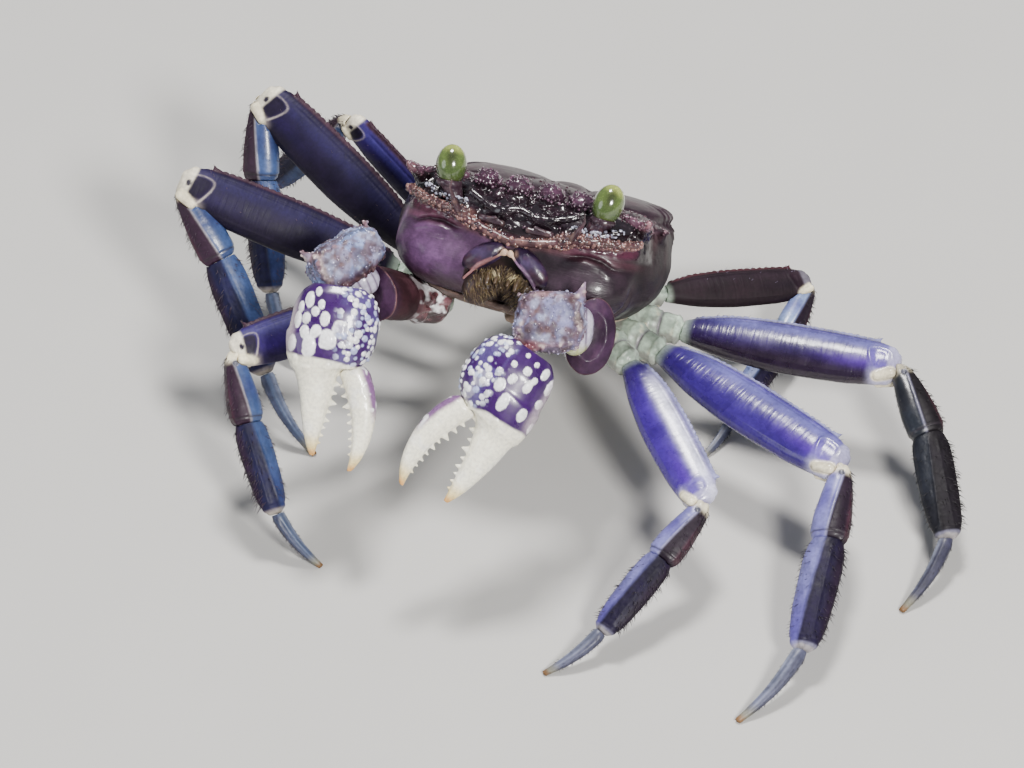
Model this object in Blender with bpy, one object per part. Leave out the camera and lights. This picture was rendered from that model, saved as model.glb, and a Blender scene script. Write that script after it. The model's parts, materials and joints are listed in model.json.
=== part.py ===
"""Still, life-size model of a marsh crab that stands on the tips of its eight legs with its body reared up.

Lengths are in millimetres and angles in degrees until the last step, which turns the meshes into metres.
Body coordinates: x to the crab's left, y to its back, z up, origin midway between the teeth beside its eyes.
"""
import bpy
import bmesh
import math
from mathutils import Matrix, Vector

MM = 0.001
GAP = 0.3

TEETH_WIDTH = 29.8
BODY_DEPTH = 14.8
BODY_FRONT = -5.0
BODY_BACK = 28.5
BODY_PITCH = 36.0
BODY_ROLL = 3.0
BODY_HEIGHT = 33.5
REAR_SLIMMING = 0.25
# The sides draw in toward the back between these two depths.
REAR_NARROWING = 0.14
NARROWING_START = 6.0
NARROWING_END = 24.0

EYE_PLACE = (9.6, -3.4, 1.8)
EYE_RADIUS = 1.8
EYE_HALF_HEIGHT = 2.4

TOE_FLAT_DEPTH = 0.12
SIDES = 12
# A cutter's corners lie between those of the limb that it cuts.
CUTTER_TURN = 0.37
RETRY_SCALE = 1.007

# Hip centre in body coordinates, and the length from there to the upper leg.
HIPS = {1: (9.5, 9.0, -14.3), 2: (10.5, 14.0, -13.8), 3: (10.5, 18.8, -12.4), 4: (7.8, 22.8, -9.8)}
HIP_LENGTH = {1: 6.5, 2: 6.5, 3: 6.5, 4: 5.6}
# Lengths of merus, carpus, propodus and dactyl.
LENGTHS = {
    1: (21.3, 8.2, 11.0, 8.5),
    2: (27.7, 9.8, 14.5, 11.8),
    3: (26.3, 9.7, 13.6, 11.0),
    4: (19.0, 7.8, 12.0, 9.8),
}
# Half heights of the same four segments.
HEIGHTS = {
    1: (2.75, 1.95, 2.0, 0.85),
    2: (3.2, 2.2, 2.35, 0.95),
    3: (3.2, 2.15, 2.3, 0.92),
    4: (2.3, 1.7, 1.8, 0.8),
}
# Azimuth, lift, twist, then the bends at the knee, the wrist and the ankle.
POSE = {
    ("left", 1): (-35, -35, -37, 61, 2, 17),
    ("left", 2): (-19, -14, -35, 58, 4, 28),
    ("left", 3): (-1, 5, -30, 54, 13, 40),
    ("left", 4): (35.6, 13.5, -35.0, 124.4, 10.0, 0.0),
    ("right", 1): (-41, -26, -21, 81, 7, 24),
    ("right", 2): (-16, 10, -6, 139, -5, 9),
    ("right", 3): (-1, 31, 4, 131, 7, 18),
    ("right", 4): (-4.8, 33.5, 42.0, 82.1, 0.0, 30.0),
}

# Each profile row: share of the length, then half thickness, rise and fall as shares of the half height.
HIP = (
    (0.0, 0.74, 0.74, 0.74), (0.3, 0.76, 0.80, 0.80), (0.62, 0.60, 0.70, 0.70), (0.9, 0.50, 0.62, 0.62),
    (1.0, 0.36, 0.44, 0.44),
)
HIP_TOP_HEIGHT = 2.7
MERUS = (
    (0.0, 0.30, 0.40, 0.40), (0.08, 0.42, 0.62, 0.56), (0.25, 0.50, 0.90, 0.84), (0.50, 0.54, 1.00, 1.00),
    (0.75, 0.53, 0.97, 0.96), (0.90, 0.50, 0.90, 0.82), (0.97, 0.45, 0.80, 0.70), (1.0, 0.36, 0.60, 0.52),
)
CARPUS = (
    (0.0, 0.42, 0.46, 0.40), (0.15, 0.56, 0.72, 0.52), (0.45, 0.68, 0.94, 0.80), (0.75, 0.74, 1.04, 1.00),
    (0.92, 0.72, 1.04, 1.02), (1.0, 0.64, 0.92, 0.90),
)
PROPODUS = (
    (0.0, 0.56, 0.76, 0.74), (0.10, 0.58, 0.92, 0.90), (0.30, 0.58, 1.00, 0.97), (0.60, 0.55, 0.96, 0.94),
    (0.85, 0.48, 0.84, 0.80), (0.96, 0.42, 0.72, 0.68), (1.0, 0.34, 0.54, 0.50),
)
DACTYL = (
    (0.0, 0.62, 0.74, 0.74), (0.10, 0.80, 1.00, 1.00), (0.35, 0.74, 0.88, 0.88), (0.62, 0.60, 0.68, 0.68),
    (0.85, 0.46, 0.50, 0.50), (0.97, 0.40, 0.42, 0.42),
)
DACTYL_BOW = 0.055
SEGMENTS = (("merus", MERUS), ("carpus", CARPUS), ("propodus", PROPODUS), ("dactyl", DACTYL))

# Claw joints in body coordinates: shoulder, elbow, middle of the carpus, wrist, then the hand's long axis
# and the direction from its lower to its upper edge, how far the movable finger is opened, how the carpus
# lies and its half sizes, how far the palm sits above the hand's axis, the height of the finger's hinge,
# and how far the arm is turned about its length.
CLAWS = {
    "left": {
        "shoulder": (8.6, 3.2, -14.6), "elbow": (12.3, -8.2, -13.0), "carpus": (7.6, -11.2, -12.2),
        "wrist": (7.9, -13.4, -16.2), "along": (-0.33, -0.19, -0.92), "up": (-0.91, -0.16, 0.36), "gape": 8.0,
        "carpus_along": (-0.92, -0.25, -0.20), "carpus_up": (-0.18, 0.10, 0.97), "carpus_size": (4.0, 3.5, 2.9),
        "rise": 0.9, "hinge_height": 3.5, "arm_turn": 0.0,
    },
    "right": {
        "shoulder": (-8.6, 3.2, -14.6), "elbow": (-15.0, -6.6, -14.4), "carpus": (-17.7, -9.2, -11.3),
        "wrist": (-16.8, -12.0, -14.3), "along": (0.12, -0.09, -0.99), "up": (0.97, 0.22, 0.10), "gape": 9.0,
        "carpus_along": (-0.62, -0.44, -0.65), "carpus_up": (-0.62, -0.24, 0.74), "carpus_size": (4.5, 2.8, 3.0),
        "rise": -0.6, "hinge_height": 2.5, "arm_turn": 70.0,
    },
}
# Hand outline rows: distance along the hand, centre height, half height, half thickness.
PALM = (
    (0.0, 0.3, 3.0, 2.1), (1.2, 0.4, 4.3, 2.8), (3.4, 0.4, 5.0, 3.3), (6.0, 0.3, 5.1, 3.3),
    (8.0, 0.0, 4.6, 3.0), (9.4, -0.4, 3.6, 2.4),
)
FIXED_FINGER = (
    (6.2, -1.5, 3.1, 2.7), (8.6, -1.5, 3.0, 2.5), (10.8, -1.35, 2.35, 2.0), (13.1, -1.3, 1.8, 1.6),
    (15.4, -1.25, 1.35, 1.25), (17.3, -1.15, 0.94, 0.9), (18.9, -0.95, 0.52, 0.52), (19.7, -0.8, 0.28, 0.28),
)
# The palm is shifted along its height by the claw's own rise, which fades out between these distances.
RISE_FULL = 6.0
RISE_END = 14.0
# The movable finger's own rows start at its hinge.
HINGE_REACH = 8.9
MOVABLE_FINGER = (
    (0.0, 0.0, 1.2, 1.1), (0.9, 0.2, 1.75, 1.6), (3.0, 0.8, 1.68, 1.45), (5.8, 1.1, 1.42, 1.25),
    (8.4, 0.8, 1.1, 1.0), (10.6, 0.1, 0.72, 0.7), (12.1, -0.7, 0.3, 0.3),
)
FINGER_TEETH = 6
ARM = (
    (0.0, 0.62, 0.62, 0.62), (0.12, 0.80, 0.80, 0.80), (0.40, 0.74, 0.95, 0.92), (0.72, 0.80, 1.20, 1.20),
    (0.92, 0.78, 1.28, 1.28), (1.0, 0.55, 0.95, 0.95),
)
ARM_HEIGHT = 3.3

COLOURS = {
    "shell": (0.055, 0.018, 0.035),
    "under": (0.35, 0.30, 0.22),
    "eye": (0.30, 0.36, 0.08),
    "stalk": (0.03, 0.012, 0.02),
    "mouth": (0.10, 0.04, 0.10),
    "arm": (0.14, 0.06, 0.08),
    "palm": (0.16, 0.03, 0.30),
    "finger": (0.85, 0.80, 0.58),
    "hip": (0.45, 0.50, 0.40),
    "merus": (0.07, 0.03, 0.32),
    "carpus": (0.22, 0.14, 0.34),
    "propodus": (0.06, 0.04, 0.20),
    "dactyl": (0.14, 0.14, 0.26),
}
ROUGHNESS = 0.35


def clear_scene():
    for item in list(bpy.data.objects):
        bpy.data.objects.remove(item, do_unlink=True)


def material_for(name, kind):
    made = bpy.data.materials.new(name)
    made.use_nodes = True
    shader = made.node_tree.nodes["Principled BSDF"]
    shader.inputs["Base Color"].default_value = (*COLOURS[kind], 1.0)
    shader.inputs["Roughness"].default_value = ROUGHNESS
    return made


def object_from(bm, name):
    bmesh.ops.recalc_face_normals(bm, faces=bm.faces)
    if bm.calc_volume(signed=True) < 0:
        bmesh.ops.reverse_faces(bm, faces=bm.faces)
    mesh = bpy.data.meshes.new(name)
    bm.to_mesh(mesh)
    bm.free()
    made = bpy.data.objects.new(name, mesh)
    bpy.context.scene.collection.objects.link(made)
    return made


def merged(mesh):
    """A copy of the mesh with needle-thin faces merged away, as long as it stays closed."""
    for distance in (0.004, 0.001, 0.0002, 0.0):
        bm = bmesh.new()
        bm.from_mesh(mesh)
        if distance:
            bmesh.ops.remove_doubles(bm, verts=bm.verts, dist=distance)
            bmesh.ops.dissolve_degenerate(bm, edges=bm.edges, dist=distance / 2)
        if all(len(edge.link_faces) == 2 for edge in bm.edges) or not distance:
            return bm
        bm.free()


def keep_largest(item):
    """Drop every loose closed surface but the largest."""
    bm = merged(item.data)
    left = set(bm.verts)
    groups = []
    while left:
        seed = left.pop()
        group = {seed}
        stack = [seed]
        while stack:
            vert = stack.pop()
            for edge in vert.link_edges:
                other = edge.other_vert(vert)
                if other not in group:
                    group.add(other)
                    stack.append(other)
        left -= group
        groups.append(group)
    groups.sort(key=lambda verts: sum(face.calc_area() for vert in verts for face in vert.link_faces))
    for group in groups[:-1]:
        bmesh.ops.delete(bm, geom=list(group), context="VERTS")
    bmesh.ops.triangulate(bm, faces=bm.faces)
    bm.to_mesh(item.data)
    bm.free()


def is_closed(item):
    bm = bmesh.new()
    bm.from_mesh(item.data)
    closed = all(len(edge.link_faces) == 2 for edge in bm.edges)
    bm.free()
    return closed


def enlarge(item):
    """Make a cutter slightly larger about its middle, for another try at a cut that came out open."""
    centre = sum((vert.co for vert in item.data.vertices), Vector()) / len(item.data.vertices)
    place = Matrix.Translation(centre)
    item.data.transform(place @ Matrix.Scale(RETRY_SCALE, 4) @ place.inverted())
    item.data.update()


def combine(item, others, operation):
    """Join or cut the item with the others in one step, and remove the others."""
    group = bpy.data.collections.new("group")
    bpy.context.scene.collection.children.link(group)
    for other in others:
        group.objects.link(other)
        other.hide_render = True
        other.display_type = "WIRE"
    source = item.data
    for solver in ("EXACT", "MANIFOLD", "EXACT", "EXACT", "EXACT"):
        step = item.modifiers.new("step", "BOOLEAN")
        step.operation = operation
        step.operand_type = "COLLECTION"
        step.collection = group
        step.solver = solver
        graph = bpy.context.evaluated_depsgraph_get()
        result = bpy.data.meshes.new_from_object(item.evaluated_get(graph))
        item.modifiers.clear()
        item.data = result
        keep_largest(item)
        if is_closed(item):
            break
        item.data = source
        for other in others:
            enlarge(other)
    for other in others:
        bpy.data.objects.remove(other, do_unlink=True)
    bpy.data.collections.remove(group)
    return item


def rounded(value, power):
    return math.copysign(abs(value) ** power, value)


def add_loft(bm, rings, start=None, end=None):
    """Skin closed rings of points; the ends close to the given points or to the ring's middle."""
    layers = [[bm.verts.new(point) for point in ring] for ring in rings]
    count = len(rings[0])
    for lower, upper in zip(layers, layers[1:]):
        for k in range(count):
            bm.faces.new((lower[k], lower[(k + 1) % count], upper[(k + 1) % count], upper[k]))
    for ring, points, tip in ((layers[0], rings[0], start), (layers[-1], rings[-1], end)):
        middle = sum((Vector(point) for point in points), Vector()) / count
        pole = bm.verts.new(tip if tip is not None else middle)
        for k in range(count):
            bm.faces.new((ring[k], ring[(k + 1) % count], pole))


def loft(name, rings, start=None, end=None):
    bm = bmesh.new()
    add_loft(bm, rings, start, end)
    return object_from(bm, name)


def ball(name, centre, radii, turn=None):
    bm = bmesh.new()
    bmesh.ops.create_uvsphere(bm, u_segments=16, v_segments=10, radius=1.0)
    place = Matrix.Translation(centre) @ (turn or Matrix()) @ Matrix.Diagonal((*radii, 1.0))
    bmesh.ops.transform(bm, matrix=place, verts=bm.verts)
    return object_from(bm, name)


def rod(name, start, end, radius_start, radius_end, sides=10):
    """A round bar with domed ends."""
    start = Vector(start)
    end = Vector(end)
    axis = (end - start).normalized()
    side = axis.orthogonal().normalized()
    other = axis.cross(side)
    rings = []
    for share, shrink in ((0.0, 0.75), (0.12, 1.0), (0.5, 1.0), (0.88, 1.0), (1.0, 0.75)):
        radius = (radius_start + (radius_end - radius_start) * share) * shrink
        centre = start.lerp(end, share)
        rings.append([
            centre + radius * (math.cos(math.tau * k / sides) * side + math.sin(math.tau * k / sides) * other)
            for k in range(sides)
        ])
    return loft(name, rings, start - axis * radius_start * 0.25, end + axis * radius_end * 0.25)


def cone(name, base, tip, radius, sides=6):
    base = Vector(base)
    tip = Vector(tip)
    axis = (tip - base).normalized()
    side = axis.orthogonal().normalized()
    other = axis.cross(side)
    rings = []
    for share, size in ((0.0, 1.0), (0.45, 0.72), (0.94, 0.20)):
        rings.append([
            base.lerp(tip, share) + radius * size
            * (math.cos(math.tau * k / sides) * side + math.sin(math.tau * k / sides) * other)
            for k in range(sides)
        ])
    return loft(name, rings, None, tip)


def section(origin, thick, up, row, scale, grow, offset=0.0, sides=SIDES, squareness=0.9):
    """One ring across a limb: row holds half thickness, rise and fall."""
    half = row[0] * scale + grow
    ring = []
    turn = CUTTER_TURN if grow else 0.0
    for k in range(sides):
        angle = math.tau * (k + turn) / sides
        height = row[1] if math.sin(angle) >= 0 else row[2]
        rise = rounded(math.sin(angle), squareness) * (height * scale + grow)
        ring.append(origin + thick * (rounded(math.cos(angle), squareness) * half) + up * (rise + offset))
    return ring


def limb_rings(start, frame, length, profile, scale, grow=0.0, bow=0.0):
    """Rings of the profile along the frame's first axis, and the two end points."""
    along, thick, up = frame
    rings = []
    for row in profile:
        share = row[0]
        reach = share * length
        if share == profile[0][0]:
            reach -= grow
        if row is profile[-1]:
            reach += grow
        offset = bow * length * math.sin(math.pi * share)
        rings.append(section(start + along * reach, thick, up, row[1:], scale, grow, offset))
    first = start + along * (-0.12 * scale - grow)
    last_share = profile[-1][0]
    last = start + along * (length * last_share + 0.14 * scale + grow)
    last += up * (bow * length * math.sin(math.pi * last_share))
    return rings, first, last


def limb(name, *shape):
    return loft(name, *limb_rings(*shape))


def body_matrix():
    roll = Matrix.Rotation(math.radians(BODY_ROLL), 4, "Y")
    pitch = Matrix.Rotation(math.radians(-BODY_PITCH), 4, "X")
    return Matrix.Translation((0.0, 0.0, BODY_HEIGHT)) @ roll @ pitch


def leg_joints(side, number, lift):
    """World positions of hip, merus base, knee, wrist, ankle and toe, with a frame for each segment."""
    azimuth, _, twist, knee, wrist, ankle = POSE[(side, number)]
    sign = 1.0 if side == "left" else -1.0
    hip = Vector(HIPS[number])
    hip.x *= sign
    turn = math.radians(azimuth)
    out = Vector((math.cos(turn) * sign, math.sin(turn), 0.0))
    up = Vector((0.0, 0.0, 1.0))
    angle = math.radians(lift)
    first = out * math.cos(angle) + up * math.sin(angle)
    stub = out * math.cos(angle / 2) + up * math.sin(angle / 2)
    axis = Matrix.Rotation(math.radians(twist) * sign, 3, first) @ up.cross(out)
    points = [hip, hip + stub * HIP_LENGTH[number]]
    frames = [(stub, up.cross(out) * sign, stub.cross(up.cross(out)))]
    total = 0.0
    for bend, length in zip((0.0, knee, wrist, ankle), LENGTHS[number]):
        total += bend
        along = Matrix.Rotation(math.radians(total), 3, axis) @ first
        points.append(points[-1] + along * length)
        frames.append((along, axis * sign, along.cross(axis)))
    body = body_matrix()
    turn_only = body.to_3x3()
    return [body @ point for point in points], [tuple(turn_only @ part for part in frame) for frame in frames]


def toe_level(side, number, lift):
    """Height of the lowest point of the last segment."""
    points, frames = leg_joints(side, number, lift)
    shape = (LENGTHS[number][3], DACTYL, HEIGHTS[number][3], 0.0, DACTYL_BOW)
    rings, _, tip = limb_rings(points[4], frames[4], *shape)
    return min([point.z for ring in rings for point in ring] + [tip.z])


def settled_lift(side, number):
    """Find the lift of the upper leg that puts the toe at floor level."""
    low = POSE[(side, number)][1] - 1.0
    high = low + 2.0
    for _ in range(40):
        middle = (low + high) / 2
        if toe_level(side, number, middle) > -TOE_FLAT_DEPTH:
            high = middle
        else:
            low = middle
    return (low + high) / 2


def cut_at_floor(item):
    """Give the toe a small flat where it stands."""
    bm = bmesh.new()
    bm.from_mesh(item.data)
    geometry = bm.verts[:] + bm.edges[:] + bm.faces[:]
    floor = {"plane_co": (0, 0, 0), "plane_no": (0, 0, -1)}
    bmesh.ops.bisect_plane(bm, geom=geometry, dist=0.0001, clear_outer=True, **floor)
    rim = [edge for edge in bm.edges if edge.is_boundary]
    bmesh.ops.holes_fill(bm, edges=rim, sides=0)
    bmesh.ops.triangulate(bm, faces=bm.faces)
    bmesh.ops.recalc_face_normals(bm, faces=bm.faces)
    bm.to_mesh(item.data)
    bm.free()


def slimmed(level, y):
    """Levels below the margin rise toward the back, where the body is thinner."""
    return level * (1.0 - REAR_SLIMMING * max(0.0, y - BODY_FRONT) / (BODY_BACK - BODY_FRONT))


def narrowed(y):
    share = min(max((y - NARROWING_START) / (NARROWING_END - NARROWING_START), 0.0), 1.0)
    return 1.0 - REAR_NARROWING * share * share * (3.0 - 2.0 * share)


def body_ring(level, half_width, front, back, power, grow, count=40):
    """A level outline of the body, squarish and flatter in front."""
    centre = (front + back) / 2
    reach = (back - front) / 2 + grow
    width = half_width + grow
    ring = []
    for k in range(count):
        angle = math.tau * (k + 0.5) / count
        squareness = power if math.sin(angle) < 0 else power + 0.18
        y = centre + reach * rounded(math.sin(angle), squareness)
        x = width * rounded(math.cos(angle), power) * narrowed(y)
        ring.append(Vector((x, y, slimmed(level, y) if level < 0 else level)))
    return ring


def body_rings(grow):
    """Rings from the back's top down to the underside."""
    half = TEETH_WIDTH / 2
    rows = (
        (0.9, 6.0, 3.0, 16.5, 0.70), (0.7, 10.0, 0.6, 22.0, 0.60), (0.3, 12.8, -0.6, 26.0, 0.52),
        (-0.3, half - 0.3, -1.8, BODY_BACK - 0.4, 0.50), (-1.6, half + 0.2, -3.9, 28.3, 0.48),
        (-3.6, half + 0.6, -5.3, 27.6, 0.48), (-6.0, half + 1.0, BODY_FRONT - 0.1, 26.8, 0.50),
        (-8.8, half + 0.5, -5.6, 26.0, 0.54), (-11.4, half - 1.2, -4.8, 25.2, 0.60),
        (-13.6, half - 3.8, -2.4, 24.0, 0.68), (-BODY_DEPTH, 7.5, 3.0, 20.0, 0.74),
    )
    rings = []
    for level, width, front, back, power in rows:
        shift = grow if level > 0.3 else (-grow if level <= -BODY_DEPTH else 0.0)
        rings.append(body_ring(level + shift, width, front, back, power, grow))
    return rings


def body_solid(name, grow):
    low = slimmed(-BODY_DEPTH - 0.1 - grow, 11.0)
    return loft(name, body_rings(grow), Vector((0, 9.0, 1.0 + grow)), Vector((0, 11.0, low)))


def split_plane(item, keep_upper):
    """Part the body where the shell ends and the breast plate begins."""
    bm = bmesh.new()
    bm.from_mesh(item.data)
    geometry = bm.verts[:] + bm.edges[:] + bm.faces[:]
    normal = Vector((0.0, -0.13, 1.0)).normalized()
    point = Vector((0.0, BODY_FRONT, -12.6 + (GAP if keep_upper else 0.0)))
    cleared = "clear_inner" if keep_upper else "clear_outer"
    bmesh.ops.bisect_plane(bm, geom=geometry, dist=0.0001, plane_co=point, plane_no=normal, **{cleared: True})
    bmesh.ops.holes_fill(bm, edges=[edge for edge in bm.edges if edge.is_boundary], sides=0)
    bmesh.ops.triangulate(bm, faces=bm.faces)
    bmesh.ops.recalc_face_normals(bm, faces=bm.faces)
    bm.to_mesh(item.data)
    bm.free()


def mirrored(point, sign):
    return (point[0] * sign, point[1], point[2])


def eye_turn(sign):
    return Matrix.Rotation(math.radians(8.0 * sign), 4, "Y")


def eye_ball(name, sign, grow):
    radii = (EYE_RADIUS + grow, EYE_RADIUS + grow, EYE_HALF_HEIGHT + grow)
    return ball(name, mirrored(EYE_PLACE, sign), radii, eye_turn(sign))


def eye_stalk(name, sign, grow):
    low = mirrored((8.4, -2.8, -2.2), sign)
    high = mirrored((9.4, -3.3, 0.4), sign)
    return rod(name, low, high, 1.15 + grow, 1.35 + grow, 12)


def make_body(parts):
    half = TEETH_WIDTH / 2
    shell = body_solid("carapace", 0.0)
    split_plane(shell, True)
    teeth = []
    for sign in (1.0, -1.0):
        for root, tip, radius in (
            ((half - 2.2, 1.6, -1.3), (half - 0.1, -2.6, 0.7), 2.1),
            ((half - 1.6, 6.6, -1.7), (half + 0.9, 2.2, -0.2), 1.9),
        ):
            teeth.append(cone("tooth", mirrored(root, sign), mirrored(tip, sign), radius, 8))
    for centre in (-5.8, -2.0, 2.0, 5.8):
        teeth.append(ball("lobe", (centre, 0.2, 0.9), (1.8, 1.5, 1.4)))
    for sign in (1.0, -1.0):
        ridge = (mirrored((half - 1.4, -2.4, -2.7), sign), mirrored((7.6, -5.0, -3.6), sign))
        teeth.append(rod("ridge", ridge[0], ridge[1], 0.7, 0.8, 8))
    combine(shell, teeth, "UNION")
    hollows = []
    for sign in (1.0, -1.0):
        orbit = (mirrored((9.2, -4.8, -0.3), sign), mirrored((13.4, -3.2, -0.4), sign))
        hollows.append(rod("orbit", orbit[0], orbit[1], 1.8, 1.55, 12))
        hollows.append(eye_ball("room", sign, GAP))
        hollows.append(eye_stalk("room", sign, GAP))
    hollows.append(ball("mouth", (0.0, -6.2, -10.2), (5.3, 3.8, 4.6)))
    combine(shell, hollows, "DIFFERENCE")
    parts.append((shell, "shell"))

    breast = body_solid("sternum", 0.0)
    split_plane(breast, False)
    combine(breast, [ball("mouth", (0.0, -6.2, -10.2), (5.3, 3.8, 4.6))], "DIFFERENCE")
    parts.append((breast, "under"))

    rings = []
    turns = [math.tau * k / 12 for k in range(12)]
    for share in (0.0, 0.12, 0.3, 0.5, 0.7, 0.88, 1.0):
        y = 4.5 + 15.5 * share
        width = 1.1 + 3.6 * share ** 0.8
        top = slimmed(-BODY_DEPTH - 0.1, y) - GAP
        rings.append([
            Vector((width * rounded(math.cos(turn), 0.7), y, top - 0.55 + 0.5 * rounded(math.sin(turn), 0.7)))
            for turn in turns
        ])
    parts.append((loft("abdomen", rings), "under"))

    for side, sign in (("left", 1.0), ("right", -1.0)):
        stalk = eye_stalk("eyestalk_" + side, sign, 0.0)
        combine(stalk, [eye_ball("room", sign, GAP)], "DIFFERENCE")
        parts.append((stalk, "stalk"))
        parts.append((eye_ball("eye_" + side, sign, 0.0), "eye"))
        ends = (mirrored((7.0, -6.4, -3.9), sign), mirrored((8.2, -7.6, -0.6), sign))
        feeler = rod("antenna_" + side, ends[0], ends[1], 0.45, 0.28, 8)
        combine(feeler, [body_solid("room", GAP)], "DIFFERENCE")
        parts.append((feeler, "stalk"))
        plates = []
        for low, high, width in (
            ((2.3, -5.9, -7.6), (3.2, -5.8, -10.0), 1.0), ((3.1, -5.7, -10.4), (2.4, -5.1, -12.6), 0.9),
        ):
            plates.append(rod("plate", mirrored(low, sign), mirrored(high, sign), width, width, 10))
        mouth = plates[0]
        mouth.name = "maxilliped_" + side
        combine(mouth, plates[1:], "UNION")
        parts.append((mouth, "mouth"))


def claw_frame(side):
    data = CLAWS[side]
    along = Vector(data["along"]).normalized()
    up = Vector(data["up"])
    up = (up - along * up.dot(along)).normalized()
    return Vector(data["wrist"]), along, up, along.cross(up)


def raised(rows, rise):
    """Hand rows shifted along the height by the claw's rise."""
    moved = []
    for reach, middle, height, width in rows:
        share = min(max((RISE_END - reach) / (RISE_END - RISE_FULL), 0.0), 1.0)
        moved.append((reach, middle + rise * share * share * (3.0 - 2.0 * share), height, width))
    return moved


def hand_rings(rows, origin, along, up, thick, grow, sides=14):
    rings = []
    for index, (reach, middle, height, width) in enumerate(rows):
        if index == 0:
            reach -= grow
        if index == len(rows) - 1:
            reach += grow
        rings.append([
            origin + along * reach
            + up * (middle + rounded(math.sin(math.tau * k / sides), 0.85) * (height + grow))
            + thick * (rounded(math.cos(math.tau * k / sides), 0.9) * (width + grow))
            for k in range(sides)
        ])
    return rings


def finger_teeth(rows, origin, along, up, facing, first, last, count):
    """Triangular teeth along a finger's biting edge."""
    made = []
    for k in range(count):
        reach = first + (last - first) * k / (count - 1)
        for left, right in zip(rows, rows[1:]):
            if left[0] <= reach <= right[0]:
                share = (reach - left[0]) / (right[0] - left[0])
                middle = left[1] + (right[1] - left[1]) * share
                height = left[2] + (right[2] - left[2]) * share
        size = 0.62 - 0.24 * k / (count - 1)
        root = origin + along * reach + up * (middle + facing * (height - size))
        made.append(cone("tooth", root, root + up * (facing * size * 2.0) + along * size * 0.4, size, 6))
    return made


def make_claw(parts, side):
    data = CLAWS[side]
    shoulder = Vector(data["shoulder"])
    elbow = Vector(data["elbow"])
    wrist, along, up, thick = claw_frame(side)
    fixed_rows = raised(FIXED_FINGER, data["rise"])

    def arm(name, grow):
        reach = elbow - shoulder
        direction = reach.normalized()
        across = direction.cross(Vector((0, 0, 1))).normalized()
        across = Matrix.Rotation(math.radians(data["arm_turn"]), 3, direction) @ across
        frame = (direction, across, across.cross(direction))
        return limb(name, shoulder, frame, reach.length, ARM, ARM_HEIGHT, grow)

    def elbow_block(name, grow):
        first = Vector(data["carpus_along"]).normalized()
        second = Vector(data["carpus_up"])
        second = (second - first * second.dot(first)).normalized()
        third = first.cross(second)
        turn = Matrix((first, second, third)).transposed().to_4x4()
        size = [value + grow for value in data["carpus_size"]]
        bm = bmesh.new()
        bmesh.ops.create_icosphere(bm, subdivisions=3, radius=1.0)
        for vert in bm.verts:
            vert.co = Vector([rounded(value, 0.72) for value in vert.co])
        bmesh.ops.transform(
            bm, matrix=Matrix.Translation(data["carpus"]) @ turn @ Matrix.Diagonal((*size, 1.0)), verts=bm.verts
        )
        return object_from(bm, name)

    def palm_solid(name, grow):
        made = loft(name, hand_rings(raised(PALM, data["rise"]), wrist, along, up, thick, grow))
        finger = loft("finger", hand_rings(fixed_rows, wrist, along, up, thick, grow))
        return made, finger

    arm_solid = arm("arm_" + side, 0.0)
    combine(arm_solid, [body_solid("room", GAP)], "DIFFERENCE")
    parts.append((arm_solid, "arm"))

    carpus = elbow_block("claw_carpus_" + side, 0.0)
    combine(carpus, [arm("room", GAP)], "DIFFERENCE")
    parts.append((carpus, "arm"))

    palm, fixed = palm_solid("palm_" + side, 0.0)
    teeth = finger_teeth(fixed_rows, wrist, along, up, 1.0, 11.0, 18.6, FINGER_TEETH)
    combine(palm, [fixed] + teeth, "UNION")
    combine(palm, [elbow_block("room", GAP)], "DIFFERENCE")
    parts.append((palm, "palm"))

    hinge = wrist + along * HINGE_REACH + up * data["hinge_height"]
    turn = Matrix.Rotation(math.radians(data["gape"]), 3, thick)
    finger_along = turn @ along
    finger_up = turn @ up
    rings = hand_rings(MOVABLE_FINGER, hinge, finger_along, finger_up, thick, 0.0)
    movable = loft("claw_finger_" + side, rings)
    teeth = finger_teeth(MOVABLE_FINGER, hinge, finger_along, finger_up, -1.0, 3.4, 10.8, FINGER_TEETH)
    combine(movable, teeth, "UNION")
    room, finger_room = palm_solid("room", GAP)
    combine(movable, [room, finger_room], "DIFFERENCE")
    parts.append((movable, "finger"))


def make_leg(parts, side, number, body):
    lift = settled_lift(side, number)
    points, frames = leg_joints(side, number, lift)
    prefix = "leg%d_%s_" % (number, side)

    def hip(name, grow):
        length = (points[1] - points[0]).length
        return limb(name, points[0], frames[0], length, HIP, min(HEIGHTS[number][0], HIP_TOP_HEIGHT), grow)

    stub = hip(prefix + "hip", 0.0)
    room = body_solid("room", GAP)
    room.data.transform(body)
    combine(stub, [room], "DIFFERENCE")
    parts.append((stub, "hip"))

    earlier = hip
    for index, (label, profile) in enumerate(SEGMENTS):
        size = HEIGHTS[number][index]
        length = LENGTHS[number][index]
        start = points[index + 1]
        frame = frames[index + 1]
        bow = DACTYL_BOW if label == "dactyl" else 0.0

        shape = (start, frame, length, profile, size)

        def segment(name, grow, shape=shape, bow=bow):
            return limb(name, *shape, grow, bow)

        made = segment(prefix + label, 0.0)
        rooms = [earlier("room", GAP)]
        if label == "merus" and number == 4:
            shell_room = body_solid("room", GAP)
            shell_room.data.transform(body)
            rooms.append(shell_room)
        combine(made, rooms, "DIFFERENCE")
        if label == "dactyl":
            cut_at_floor(made)
        parts.append((made, label))
        earlier = segment


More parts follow.
